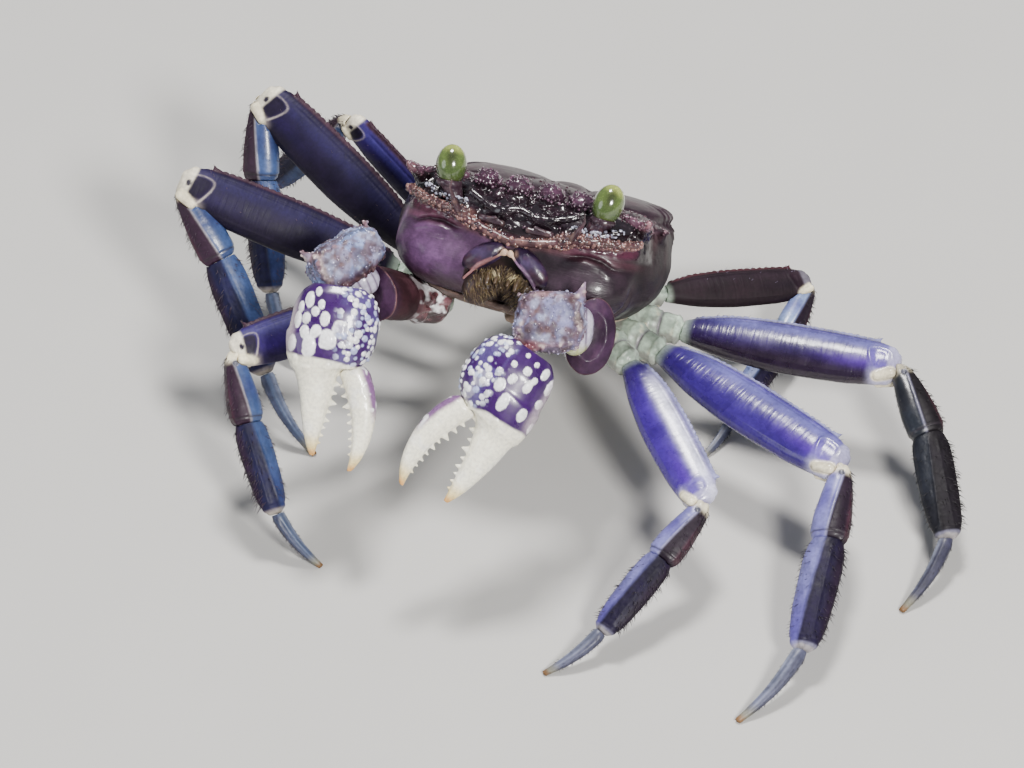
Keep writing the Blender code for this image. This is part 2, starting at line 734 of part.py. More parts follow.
def finish(parts):
    """Centre the model over the origin, turn it into metres and give each part its material."""
    low = Vector((1e9, 1e9, 1e9))
    high = -low
    for item, _ in parts:
        for vert in item.data.vertices:
            low = Vector(map(min, low, vert.co))
            high = Vector(map(max, high, vert.co))
    shift = Vector((-(low.x + high.x) / 2, -(low.y + high.y) / 2, -low.z))
    for item, kind in parts:
        item.data.transform(Matrix.Scale(MM, 4) @ Matrix.Translation(shift))
        item.data.materials.clear()
        item.data.materials.append(material_for(item.name, kind))
        item.data.name = item.name


def build():
    clear_scene()
    body = body_matrix()
    parts = []
    make_body(parts)
    for side in ("left", "right"):
        make_claw(parts, side)
    for item, _ in parts:
        item.data.transform(body)
    for side in ("left", "right"):
        for number in (1, 2, 3, 4):
            make_leg(parts, side, number, body)
    finish(parts)


build()
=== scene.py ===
"""The looks of the marsh crab: fine skins in place of the plain solids, granules, bristles, light and camera.

Lengths are millimetres and angles degrees until a mesh is made, which turns them into metres.
A field is a function that is negative inside a form and counts millimetres near its surface.
"""

import itertools
import json
import math
from concurrent.futures import ThreadPoolExecutor

import bpy
import numpy as np
from mathutils import Matrix, Vector

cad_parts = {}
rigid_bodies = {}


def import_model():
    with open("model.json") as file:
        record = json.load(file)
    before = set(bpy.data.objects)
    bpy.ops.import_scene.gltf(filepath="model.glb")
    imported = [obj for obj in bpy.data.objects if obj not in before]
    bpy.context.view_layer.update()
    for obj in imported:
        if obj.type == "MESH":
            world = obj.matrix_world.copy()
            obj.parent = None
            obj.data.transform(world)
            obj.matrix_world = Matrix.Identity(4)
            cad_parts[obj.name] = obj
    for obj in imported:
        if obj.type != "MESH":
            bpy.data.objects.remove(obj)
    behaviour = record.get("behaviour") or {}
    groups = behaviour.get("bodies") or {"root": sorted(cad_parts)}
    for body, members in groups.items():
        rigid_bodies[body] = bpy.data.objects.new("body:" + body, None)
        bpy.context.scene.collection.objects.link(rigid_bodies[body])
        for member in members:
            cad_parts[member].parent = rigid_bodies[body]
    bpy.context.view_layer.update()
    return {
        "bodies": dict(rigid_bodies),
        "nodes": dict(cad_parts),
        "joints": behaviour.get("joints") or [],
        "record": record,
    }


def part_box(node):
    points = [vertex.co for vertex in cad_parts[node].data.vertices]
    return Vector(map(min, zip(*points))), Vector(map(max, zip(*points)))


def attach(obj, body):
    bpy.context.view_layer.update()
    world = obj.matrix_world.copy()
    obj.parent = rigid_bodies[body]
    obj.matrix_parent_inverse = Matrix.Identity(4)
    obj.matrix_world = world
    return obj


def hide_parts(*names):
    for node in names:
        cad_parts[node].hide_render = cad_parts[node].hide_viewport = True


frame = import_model()

MM = 0.001
SIDES = (("left", 1.0), ("right", -1.0))
# The gap that most skins keep from the neighbour they meet.
GAP = 0.1

# The driving dimensions, the same as those of the solids.
BODY_DEPTH = 14.8
BODY_FRONT = -5.0
BODY_BACK = 28.5
BODY_PITCH = 36.0
BODY_ROLL = 3.0
BODY_HEIGHT = 33.5
REAR_SLIMMING = 0.25
REAR_NARROWING = 0.14
EYE_PLACE = (9.6, -3.4, 1.8)
EYE_RADIUS = 1.8
EYE_HALF_HEIGHT = 2.4
EYE_TILT = 8.0
STALK_LOW = (8.4, -2.8, -2.2)
STALK_HIGH = (9.4, -3.3, 0.0)
TOE_FLAT_DEPTH = 0.12

HIPS = {1: (9.5, 9.0, -14.3), 2: (10.5, 14.0, -13.8), 3: (10.5, 18.8, -12.4), 4: (7.8, 22.8, -9.8)}
HIP_LENGTH = {1: 6.5, 2: 6.5, 3: 6.5, 4: 5.6}
LENGTHS = {
    1: (21.3, 8.2, 11.0, 8.5),
    2: (27.7, 9.8, 14.5, 11.8),
    3: (26.3, 9.7, 13.6, 11.0),
    4: (19.0, 7.8, 12.0, 9.8),
}
HEIGHTS = {
    1: (2.75, 1.95, 2.0, 0.85),
    2: (3.2, 2.2, 2.35, 0.95),
    3: (3.2, 2.15, 2.3, 0.92),
    4: (2.3, 1.7, 1.8, 0.8),
}
# Each leg's azimuth, lift and twist, then its bends at the knee, the wrist and the ankle.
POSE = {
    ("left", 1): (-35, -35, -37, 61, 2, 17),
    ("left", 2): (-19, -14, -35, 58, 4, 28),
    ("left", 3): (-1, 5, -30, 54, 13, 40),
    ("left", 4): (35.6, 13.5, -35.0, 124.4, 10.0, 0.0),
    ("right", 1): (-41, -26, -21, 81, 7, 24),
    ("right", 2): (-16, 10, -6, 139, -5, 9),
    ("right", 3): (-1, 31, 4, 131, 7, 18),
    ("right", 4): (-4.8, 33.5, 42.0, 82.1, 0.0, 30.0),
}
# Each profile row: share of the length, then half thickness, rise and fall as shares of the half height.
HIP = (
    (0.0, 0.74, 0.74, 0.74), (0.3, 0.76, 0.80, 0.80), (0.62, 0.60, 0.70, 0.70), (0.9, 0.5, 0.62, 0.62),
    (1.0, 0.36, 0.44, 0.44),
)
MERUS = (
    (0.0, 0.30, 0.40, 0.40), (0.08, 0.42, 0.62, 0.56), (0.25, 0.50, 0.90, 0.84), (0.50, 0.54, 1.00, 1.00),
    (0.75, 0.53, 0.97, 0.96), (0.90, 0.50, 0.90, 0.82), (0.97, 0.45, 0.80, 0.70), (1.0, 0.36, 0.60, 0.52),
)
CARPUS = (
    (0.0, 0.42, 0.46, 0.40), (0.15, 0.56, 0.72, 0.52), (0.45, 0.68, 0.94, 0.80), (0.75, 0.74, 1.04, 1.00),
    (0.92, 0.72, 1.04, 1.02), (1.0, 0.64, 0.92, 0.90),
)
PROPODUS = (
    (0.0, 0.56, 0.76, 0.74), (0.10, 0.58, 0.92, 0.90), (0.30, 0.58, 1.00, 0.97), (0.60, 0.55, 0.96, 0.94),
    (0.85, 0.48, 0.84, 0.80), (0.96, 0.42, 0.72, 0.68), (1.0, 0.34, 0.54, 0.50),
)
DACTYL = (
    (0.0, 0.62, 0.74, 0.74), (0.10, 0.80, 1.00, 1.00), (0.35, 0.74, 0.88, 0.88), (0.62, 0.60, 0.68, 0.68),
    (0.85, 0.46, 0.50, 0.50), (0.97, 0.40, 0.42, 0.42),
)
DACTYL_BOW = 0.055
# How far a segment goes on beyond its last row, as a share of its half height.
END_ROUNDING = 0.14
HIP_HALF_HEIGHT = 2.7
SEGMENTS = (("merus", MERUS), ("carpus", CARPUS), ("propodus", PROPODUS), ("dactyl", DACTYL))

# The body's outlines from the underside up: level, half width, front, back and squareness.
BODY_ROWS = (
    (-14.9, 6.0, 4.0, 19.0, 0.76), (-14.6, 8.5, 2.2, 20.8, 0.74), (-13.6, 11.1, -2.4, 24.0, 0.68),
    (-11.4, 13.7, -4.8, 25.2, 0.60), (-8.8, 15.4, -5.6, 26.0, 0.54), (-6.0, 15.9, -5.1, 26.8, 0.50),
    (-3.6, 15.5, -5.0, 27.6, 0.48), (-1.6, 15.1, -3.9, 28.3, 0.48), (-0.2, 14.7, -1.9, 28.2, 0.50),
)
# How far the back falls below its top, across the body and along it.
BACK_ACROSS = ((0.0, 0.0), (6.0, 0.12), (10.0, 0.42), (12.8, 1.0), (14.6, 1.75), (15.5, 3.4))
BACK_ALONG = (
    (-4.2, 3.4), (-1.8, 1.75), (-0.6, 1.0), (0.6, 0.42), (3.0, 0.12), (9.0, 0.0), (16.5, 0.12), (22.0, 0.42),
    (26.0, 1.0), (28.1, 1.75), (29.2, 3.4),
)
BACK_TOP = 1.0

CLAWS = {
    "left": {
        "shoulder": (8.6, 3.2, -14.6), "elbow": (12.3, -8.2, -13.0), "carpus": (7.6, -11.2, -12.2),
        "wrist": (7.9, -13.4, -16.2), "along": (-0.33, -0.19, -0.92), "up": (-0.91, -0.16, 0.36),
        "carpus_along": (-0.92, -0.25, -0.20), "carpus_up": (-0.18, 0.10, 0.97),
        "carpus_size": (4.0, 3.5, 2.9), "gape": 8.0,
        "palm_rise": 0.9, "hinge_height": 3.5, "arm_turn": 0.0, "outer_side": -1.0,
    },
    "right": {
        "shoulder": (-8.6, 3.2, -14.6), "elbow": (-15.0, -6.6, -14.4), "carpus": (-17.7, -9.2, -11.3),
        "wrist": (-16.8, -12.0, -14.3), "along": (0.12, -0.09, -0.99), "up": (0.97, 0.22, 0.10),
        "carpus_along": (-0.62, -0.44, -0.65), "carpus_up": (-0.62, -0.24, 0.74),
        "carpus_size": (4.5, 2.8, 3.0), "gape": 9.0,
        "palm_rise": -0.6, "hinge_height": 2.5, "arm_turn": 70.0, "outer_side": 1.0,
    },
}
# Hand outline rows: distance along the hand, centre height, half height, half thickness.
PALM = (
    (0.0, 0.3, 3.0, 2.1), (1.2, 0.4, 4.3, 2.8), (3.4, 0.4, 5.0, 3.3), (6.0, 0.3, 5.1, 3.3),
    (8.0, 0.0, 4.6, 3.0), (9.4, -0.4, 3.6, 2.4),
)
FIXED_FINGER = (
    (6.2, -1.5, 3.1, 2.7), (8.6, -1.5, 3.0, 2.5), (10.8, -1.35, 2.35, 2.0), (13.1, -1.3, 1.8, 1.6),
    (15.4, -1.25, 1.35, 1.25), (17.3, -1.15, 0.94, 0.9), (18.9, -0.95, 0.52, 0.52), (19.7, -0.8, 0.28, 0.28),
)
HINGE_REACH = 8.9
MOVABLE_FINGER = (
    (0.0, 0.0, 1.2, 1.1), (0.9, 0.2, 1.75, 1.6), (3.0, 0.8, 1.68, 1.45), (5.8, 1.1, 1.42, 1.25),
    (8.4, 0.8, 1.1, 1.0), (10.6, 0.1, 0.72, 0.7), (12.1, -0.7, 0.3, 0.3),
)
# Biting teeth: distance along the finger and height.
FIXED_TEETH = (
    (9.8, 0.95), (11.1, 0.8), (12.2, 0.6), (13.3, 1.05), (14.4, 0.55), (15.4, 0.75), (16.3, 0.45),
    (17.2, 0.5), (18.1, 0.34),
)
MOVABLE_TEETH = (
    (2.2, 0.6), (3.3, 0.75), (4.5, 1.0), (5.5, 0.5), (6.4, 0.75), (7.4, 0.5), (8.3, 0.55),
    (9.2, 0.36), (10.1, 0.3),
)
# White spots on the palm's outer face: reach, height, half length along the hand and half width.
SPOTS = {
    "left": (
        (2.2, 0.0, 0.36, 0.34), (3.9, 0.9, 0.44, 0.36), (5.3, 1.7, 0.58, 0.46), (5.8, 3.7, 0.85, 0.7),
        (1.4, -1.9, 0.6, 0.34), (3.7, -1.1, 0.66, 0.42), (6.7, 0.3, 0.86, 0.46), (2.3, -3.2, 0.85, 0.3),
        (4.6, -3.2, 0.5, 0.32), (6.7, -2.3, 0.66, 0.42), (9.1, -0.3, 0.44, 0.42), (9.6, 3.1, 0.6, 0.36),
        (2.8, -1.3, 0.4, 0.26), (2.4, 1.7, 0.28, 0.26), (7.9, 4.1, 0.6, 0.55), (7.4, -4.0, 0.6, 0.26),
        (1.0, -0.5, 0.26, 0.22), (0.7, 0.9, 0.22, 0.2), (4.0, 2.6, 0.4, 0.32), (6.9, 2.3, 0.36, 0.3),
    ),
    "right": (
        (2.0, -3.3, 0.7, 0.36), (4.4, -4.4, 0.75, 0.3), (4.2, -3.4, 0.55, 0.36), (3.3, -2.5, 0.42, 0.36),
        (7.2, -4.7, 0.75, 0.36), (5.7, -3.4, 0.62, 0.42), (5.6, -2.2, 0.6, 0.5), (7.4, -2.7, 0.98, 0.62),
        (9.2, -4.2, 0.6, 0.36), (10.0, -2.7, 0.56, 0.5), (9.8, -0.2, 0.8, 0.46), (6.4, -0.7, 0.9, 0.8),
        (4.0, -1.3, 0.6, 0.4), (2.4, -1.9, 0.42, 0.3), (5.0, 0.6, 0.8, 0.7), (1.0, -2.4, 0.4, 0.25),
        (3.0, -4.2, 0.5, 0.24),
    ),
}

# Colours, as linear light.
FOSSA_SHADE = (0.020, 0.010, 0.018)
MAROON = (0.100, 0.030, 0.045)
TAN = (0.42, 0.25, 0.19)
CREAM = (0.80, 0.72, 0.52)
WHITE = (0.93, 0.92, 0.94)
IVORY = (0.97, 0.93, 0.76)
AMBER = (0.62, 0.26, 0.045)
UMBER = (0.050, 0.026, 0.030)
PALM_VIOLET = (0.036, 0.004, 0.085)
SEA_GREEN = (0.42, 0.52, 0.42)
OLIVE = (0.080, 0.125, 0.034)
LIME = (0.40, 0.46, 0.11)
HONEY = (0.80, 0.62, 0.24)
FEELER_BROWN = (0.055, 0.024, 0.032)


def eye_centre_shift():
    """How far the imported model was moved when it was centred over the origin."""
    low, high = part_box("eye_left")
    return (low + high) / 2 / MM - body_matrix() @ Vector(EYE_PLACE)


def body_matrix():
    roll = Matrix.Rotation(math.radians(BODY_ROLL), 4, "Y")
    pitch = Matrix.Rotation(math.radians(-BODY_PITCH), 4, "X")
    return Matrix.Translation((0.0, 0.0, BODY_HEIGHT)) @ roll @ pitch


SHIFT = np.array(eye_centre_shift())
BODY_TURN = np.array(body_matrix().to_3x3())
BODY_ORIGIN = np.array(body_matrix().translation)


def to_body(points):
    return (points - BODY_ORIGIN) @ BODY_TURN


def from_body(points):
    return np.asarray(points, float) @ BODY_TURN.T + BODY_ORIGIN


# Small tools for numbers and fields.

def smoothstep(low, high, value):
    share = np.clip((value - low) / (high - low), 0.0, 1.0)
    return share * share * (3.0 - 2.0 * share)


def bell(value, width):
    return np.exp(-(value / width) ** 2)


def smooth_min(first, second, blend):
    overlap = np.maximum(blend - np.abs(first - second), 0.0) / blend
    return np.minimum(first, second) - overlap * overlap * blend * 0.25


def carve(field, hollow, blend):
    return -smooth_min(-field, hollow, blend)


def noise(points, size, seed=0):
    """Value noise between -1 and 1, with lumps of about the given size."""
    scaled = np.asarray(points) / size + 37.7 * seed + 1000.0
    cell = np.floor(scaled).astype(np.int64)
    part = scaled - cell
    part = part * part * (3.0 - 2.0 * part)
    total = np.zeros(len(scaled))
    for corner in range(8):
        step = np.array((corner & 1, corner >> 1 & 1, corner >> 2))
        x, y, z = (cell + step).T
        key = x * 374761393 + y * 668265263 + z * 1442695041
        key = (key ^ (key >> 13)) * 1274126177 & 0x7FFFFFFF
        key = key ^ (key >> 16)
        weight = np.prod(np.where(step, part, 1.0 - part), axis=1)
        total += weight * ((key & 0xFFFF) / 32767.5 - 1.0)
    return total


def layered(points, size, seed=0):
    """Noise of three sizes, each about half as large as the one before."""
    broad = noise(points, size, seed)
    middle = noise(points, size / 2.1, seed + 1)
    fine = noise(points, size / 4.3, seed + 2)
    return broad * 0.6 + middle * 0.3 + fine * 0.15


# Numbers that scatter the grains below without a pattern that shows.
SCATTER = ((127.1, 311.7, 74.7), (269.5, 183.3, 246.1), (113.5, 271.9, 124.6), (419.2, 371.9, 57.3))
SCATTER_SCALE = 43758.5453


def pebbles(points, gap, seed=0):
    """Distance to the nearest of many scattered grains, in grain radii, and its tone from 0 to 1."""
    cell = np.floor(points / gap)
    nearest = np.full(len(points), 9.0)
    tone = np.zeros(len(points))
    for offset in itertools.product((-1.0, 0.0, 1.0), repeat=3):
        place = cell + offset
        shares = []
        for turn in SCATTER:
            shares.append(np.abs(np.modf(np.sin(place @ turn + seed) * SCATTER_SCALE)[0]))
        centre = (place + 0.18 + 0.64 * np.stack(shares[:3], -1)) * gap
        distance = np.linalg.norm(points - centre, axis=1) / (gap * (0.30 + 0.26 * shares[3]))
        closer = distance < nearest
        nearest = np.where(closer, distance, nearest)
        tone = np.where(closer, shares[0], tone)
    return nearest, tone


def roughen(field, points, amount, size, seed, reach=0.6):
    """Raise and lower the surface by layered noise, worked out only near it."""
    near = np.abs(field) < reach
    depth = amount[near] if isinstance(amount, np.ndarray) else amount
    field[near] -= depth * layered(points[near], size, seed)
    return field


class Curve:
    """A smooth curve through the given points that doesn't overshoot them."""

    def __init__(self, xs, ys):
        self.xs = np.array(xs, float)
        self.ys = np.array(ys, float)
        slope = np.diff(self.ys) / np.diff(self.xs)
        self.tangents = np.zeros(len(self.xs))
        self.tangents[0] = slope[0]
        self.tangents[-1] = slope[-1]
        before = slope[:-1]
        after = slope[1:]
        same = before * after > 0
        self.tangents[1:-1][same] = (2 * before * after)[same] / (before + after)[same]

    def __call__(self, x):
        x = np.clip(x, self.xs[0], self.xs[-1])
        k = np.clip(np.searchsorted(self.xs, x) - 1, 0, len(self.xs) - 2)
        width = self.xs[k + 1] - self.xs[k]
        t = (x - self.xs[k]) / width
        straight = self.ys[k] * (1 + 2 * t) * (1 - t) ** 2 + self.ys[k + 1] * t * t * (3 - 2 * t)
        bent = self.tangents[k] * t * (1 - t) ** 2 - self.tangents[k + 1] * t * t * (1 - t)
        return straight + width * bent


def curves(rows):
    columns = list(zip(*rows))
    return [Curve(columns[0], column) for column in columns[1:]]


def in_millimetres(raw, points, step=0.04):
    """Divide a raw level function by its slope, so that it counts millimetres near its surface."""
    value = raw(points)
    slope = np.zeros(len(points))
    for axis in range(3):
        moved = points.copy()
        moved[:, axis] += step
        slope += ((raw(moved) - value) / step) ** 2
    return value / np.maximum(np.sqrt(slope), 0.02)


# Distance given to points that are well clear of a form, where its true distance isn't worked out.
FAR = 4.0


def ball(points, centre, radii, turn=None):
    centre = np.array(centre, float)
    radii = np.ones(3) * radii
    offset = points - centre
    distance = np.full(len(points), FAR)
    near = np.abs(offset).max(axis=1) < radii.max() + FAR
    offset = offset[near]
    if turn is not None:
        offset = offset @ turn
    inner = np.linalg.norm(offset / radii, axis=1)
    outer = np.linalg.norm(offset / radii ** 2, axis=1)
    distance[near] = inner * (inner - 1.0) / np.maximum(outer, 1e-6)
    return distance


def bar(points, start, end, start_radius, end_radius=None):
    """A round bar or spike between two points."""
    end_radius = start_radius if end_radius is None else end_radius
    start = np.array(start, float)
    reach = np.array(end, float) - start
    distance = np.full(len(points), FAR)
    offset = points - start
    length = np.linalg.norm(reach)
    near = np.abs(offset - reach / 2).max(axis=1) < length / 2 + max(start_radius, end_radius) + FAR
    offset = offset[near]
    share = np.clip(offset @ reach / length ** 2, 0.0, 1.0)
    gap = np.linalg.norm(offset - share[:, None] * reach, axis=1)
    distance[near] = gap - (start_radius + (end_radius - start_radius) * share)
    return distance


def chain(points, stations, radius):
    distance = bar(points, stations[0], stations[1], radius)
    for start, end in zip(stations[1:], stations[2:]):
        distance = np.minimum(distance, bar(points, start, end, radius))
    return distance


# From a field to a mesh.

WORKERS = ThreadPoolExecutor(4)
CORNERS = list(itertools.product((0, 1), repeat=3))
CELL_EDGES = [
    (a, b) for a, b in itertools.combinations(range(8), 2)
    if sum(u != v for u, v in zip(CORNERS[a], CORNERS[b])) == 1
]
# Grids from coarse to fine: the size of a cell in fine steps, and how many of it fit in the cell before.
GRIDS = ((12, 1), (4, 3), (1, 4))


def in_chunks(field, points):
    """The field's values, worked out in pieces side by side."""
    if len(points) < 3000:
        return field(points)
    pieces = np.array_split(points, max(4, len(points) // 30000))
    return np.concatenate(list(WORKERS.map(field, pieces)))


def widened(values, times, shape):
    for axis in range(3):
        values = values.repeat(times, axis)
    return values[:shape[0], :shape[1], :shape[2]].copy()


def sampled(field, low, shape, step):
    """Values on a grid, from coarse to fine; places far from the surface only get their sign."""
    values = None
    for size, times in GRIDS:
        counts = tuple(-(-n // size) for n in shape)
        if values is None:
            values = np.zeros(counts)
            near = np.ones(counts, bool)
        else:
            values = widened(values, times, counts)
            near = np.abs(values) < size * times * step * 0.87 * 1.25 + 0.32
        places = np.stack(np.nonzero(near), -1)
        values[near] = in_chunks(field, low + (places + 0.5 * (size > 1)) * size * step)
    return values


def crossing_points(values, cells):
    """The mean of the places where each cell's edges cross the surface, counted in cells."""
    corner_values = [values[tuple((cells + corner).T)] for corner in CORNERS]
    total = np.zeros((len(cells), 3))
    hits = np.zeros(len(cells))
    for a, b in CELL_EDGES:
        crossed = (corner_values[a] < 0) != (corner_values[b] < 0)
        gap = np.where(crossed, corner_values[a] - corner_values[b], 1.0)
        share = np.where(crossed, corner_values[a] / gap, 0.0)
        place = np.array(CORNERS[a]) + share[:, None] * (np.array(CORNERS[b]) - np.array(CORNERS[a]))
        total += np.where(crossed[:, None], place, 0.0)
        hits += crossed
    return cells + total / hits[:, None]


def crossing_quads(inside, number):
    """A face around each grid edge that crosses the surface; number tells each cell's point."""
    shape = inside.shape
    quads = []
    for axis in range(3):
        second = (axis + 1) % 3
        third = (axis + 2) % 3
        before = inside.take(range(shape[axis] - 1), axis)
        after = inside.take(range(1, shape[axis]), axis)
        places = np.stack(np.nonzero(before != after), -1)
        keep = (places[:, second] > 0) & (places[:, third] > 0)
        keep &= (places[:, second] < shape[second] - 1) & (places[:, third] < shape[third] - 1)
        places = places[keep]
        around = []
        for back_second, back_third in ((1, 1), (0, 1), (0, 0), (1, 0)):
            cell = places.copy()
            cell[:, second] -= back_second
            cell[:, third] -= back_third
            around.append(number[tuple(cell.T)])
        quad = np.stack(around, -1)
        flip = ~before[tuple(places.T)]
        quad[flip] = quad[flip][:, ::-1]
        quads.append(quad)
    return np.concatenate(quads)


def surface(field, low, high, step):
    """A closed mesh of quads on the field's surface, relaxed and pulled exactly onto it."""
    low = np.array(low, float) - 2 * step
    shape = tuple(int(n) for n in np.ceil((np.array(high) + 2 * step - low) / step).astype(int) + 1)
    values = sampled(field, low, shape, step)
    inside = values < 0
    cut_shape = tuple(n - 1 for n in shape)
    count = np.zeros(cut_shape, np.int8)
    for corner in CORNERS:
        count += inside[tuple(slice(c, c + n) for c, n in zip(corner, cut_shape))]
    cells = np.stack(np.nonzero((count > 0) & (count < len(CORNERS))), -1)
    number = np.full(cut_shape, -1, np.int32)
    number[tuple(cells.T)] = np.arange(len(cells))
    points = crossing_points(values, cells) * step + low
    quads = crossing_quads(inside, number)
    for _ in range(2):
        points = relaxed(points, quads)
        points = pulled(field, points, quads, step)
    points = pulled(field, points, quads, step)
    return points, quads


def relaxed(points, quads):
    total = np.zeros_like(points)
    hits = np.zeros(len(points))
    for k in range(4):
        here = quads[:, k]
        for other in (quads[:, (k + 1) % 4], quads[:, (k + 3) % 4]):
            for axis in range(3):
                total[:, axis] += np.bincount(here, points[other, axis], len(points))
            hits += np.bincount(here, minlength=len(points))
    return points * 0.4 + total / np.maximum(hits, 1)[:, None] * 0.6


def mesh_normals(points, quads):
    across = np.cross(points[quads[:, 2]] - points[quads[:, 0]], points[quads[:, 3]] - points[quads[:, 1]])
    total = np.zeros_like(points)
    for axis in range(3):
        total[:, axis] = sum(np.bincount(quads[:, k], across[:, axis], len(points)) for k in range(4))
    return total / np.maximum(np.linalg.norm(total, axis=1), 1e-9)[:, None]


def pulled(field, points, quads, step):
    """Move the points along the mesh's own normals onto the surface."""
    value = np.clip(in_chunks(field, points), -0.8 * step, 0.8 * step)
    return points - value[:, None] * mesh_normals(points, quads)


def mesh_object(name, points, faces, marks):
    """points are in the solids' world millimetres; marks are named values at the points."""
    mesh = bpy.data.meshes.new(name)
    count = len(faces)
    sides = faces.shape[1]
    mesh.vertices.add(len(points))
    mesh.vertices.foreach_set("co", ((points + SHIFT) * MM).astype(np.float32).ravel())
    mesh.loops.add(count * sides)
    mesh.loops.foreach_set("vertex_index", faces.astype(np.int32).ravel())
    mesh.polygons.add(count)
    mesh.polygons.foreach_set("loop_start", np.arange(0, count * sides, sides, dtype=np.int32))
    mesh.update(calc_edges=True)
    mesh.validate()
    mesh.polygons.foreach_set("use_smooth", np.ones(count, bool))
    for mark, values in marks.items():
        values = np.asarray(values, np.float32)
        if mark == "paint":
            layer = mesh.attributes.new(mark, "FLOAT_COLOR", "POINT")
            layer.data.foreach_set("color", np.c_[values, np.ones(len(values), np.float32)].ravel())
        elif values.ndim == 2:
            layer = mesh.attributes.new(mark, "FLOAT_VECTOR", "POINT")
            layer.data.foreach_set("vector", values.ravel())
        else:
            layer = mesh.attributes.new(mark, "FLOAT", "POINT")
            layer.data.foreach_set("value", values)
    mesh.update()
    item = bpy.data.objects.new(name, mesh)
    bpy.context.scene.collection.objects.link(item)
    return item


def add_piece(name, points, faces, marks, material, slot, nodes=()):
    item = mesh_object(name, points, faces, marks)
    item.data.materials.append(material)
    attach(item, "root")
    if nodes:
        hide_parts(*nodes)
    return item


def skin_marks(points, paint, rough):
    """What the shell materials read at each point: colour, roughness and the piece's own coordinates."""
    return {"paint": paint.values, "rough": np.full(len(points), rough), "place": points}


class Paint:
    """Colours at the points of a mesh, laid on one over the other."""

    def __init__(self, count, colour):
        self.values = np.tile(np.array(colour, float), (count, 1))

    def lay(self, colour, share):
        share = np.clip(share, 0.0, 1.0)[:, None]
        self.values = self.values * (1.0 - share) + np.array(colour, float) * share
        return self

    def shade(self, factor):
        self.values = self.values * np.asarray(factor)[:, None]
        return self


# Materials.

# How many patches, pores or facets of the materials fit in a metre.
BROAD_PATCHES = 420.0
FINE_PATCHES = 2600.0
PORES = 3400.0
FACETS = 5200.0
COAT_PATCHES = 900.0


class Shader:
    """A material with its node tree, and short names for the nodes that are used here."""

    def __init__(self, name):
        self.material = bpy.data.materials.new(name)
        self.material.use_nodes = True
        self.tree = self.material.node_tree
        self.main = self.tree.nodes["Principled BSDF"]

    def add(self, kind, **settings):
        node = self.tree.nodes.new(kind)
        for key, value in settings.items():
            setattr(node, key, value)
        return node

    def link(self, value, socket):
        if hasattr(value, "is_output"):
            self.tree.links.new(value, socket)
        elif isinstance(value, tuple) and len(value) == 3 and socket.type == "RGBA":
            socket.default_value = (*value, 1.0)
        else:
            socket.default_value = value

    def mark(self, name, output="Fac"):
        return self.add("ShaderNodeAttribute", attribute_name=name).outputs[output]

    def place(self):
        return self.add("ShaderNodeTexCoord").outputs["Object"]

    def stretched(self, vector, scale):
        node = self.add("ShaderNodeVectorMath", operation="MULTIPLY")
        self.link(vector, node.inputs[0])
        node.inputs[1].default_value = scale
        return node.outputs[0]

    def scaled(self, colour, factor):
        node = self.add("ShaderNodeVectorMath", operation="SCALE")
        self.link(colour, node.inputs[0])
        self.link(factor, node.inputs["Scale"])
        return node.outputs[0]

    def noise(self, scale, detail=2.0, vector=None):
        node = self.add("ShaderNodeTexNoise")
        self.link(vector or self.place(), node.inputs["Vector"])
        node.inputs["Scale"].default_value = scale
        node.inputs["Detail"].default_value = detail
        return node.outputs["Fac"]

    def cells(self, scale):
        node = self.add("ShaderNodeTexVoronoi")
        self.link(self.place(), node.inputs["Vector"])
        node.inputs["Scale"].default_value = scale
        return node.outputs["Distance"]

    def calc(self, operation, *values):
        node = self.add("ShaderNodeMath", operation=operation)
        for value, socket in zip(values, node.inputs):
            self.link(value, socket)
        return node.outputs[0]

    def span(self, value, low, high, out_low=0.0, out_high=1.0):
        node = self.add("ShaderNodeMapRange", interpolation_type="SMOOTHSTEP")
        self.link(value, node.inputs["Value"])
        limits = {"From Min": low, "From Max": high, "To Min": out_low, "To Max": out_high}
        for key, number in limits.items():
            node.inputs[key].default_value = number
        return node.outputs["Result"]

    def mix(self, share, first, second):
        node = self.add("ShaderNodeMix", data_type="RGBA")
        self.link(share, node.inputs[0])
        self.link(first, node.inputs[6])
        self.link(second, node.inputs[7])
        return node.outputs[2]

    def bump(self, height, distance, strength=1.0, normal=None):
        node = self.add("ShaderNodeBump")
        self.link(height, node.inputs["Height"])
        node.inputs["Distance"].default_value = distance
        node.inputs["Strength"].default_value = strength
        if normal:
            self.link(normal, node.inputs["Normal"])
        return node.outputs["Normal"]

    def set(self, **values):
        for key, value in values.items():
            self.link(value, self.main.inputs[key.replace("_", " ")])


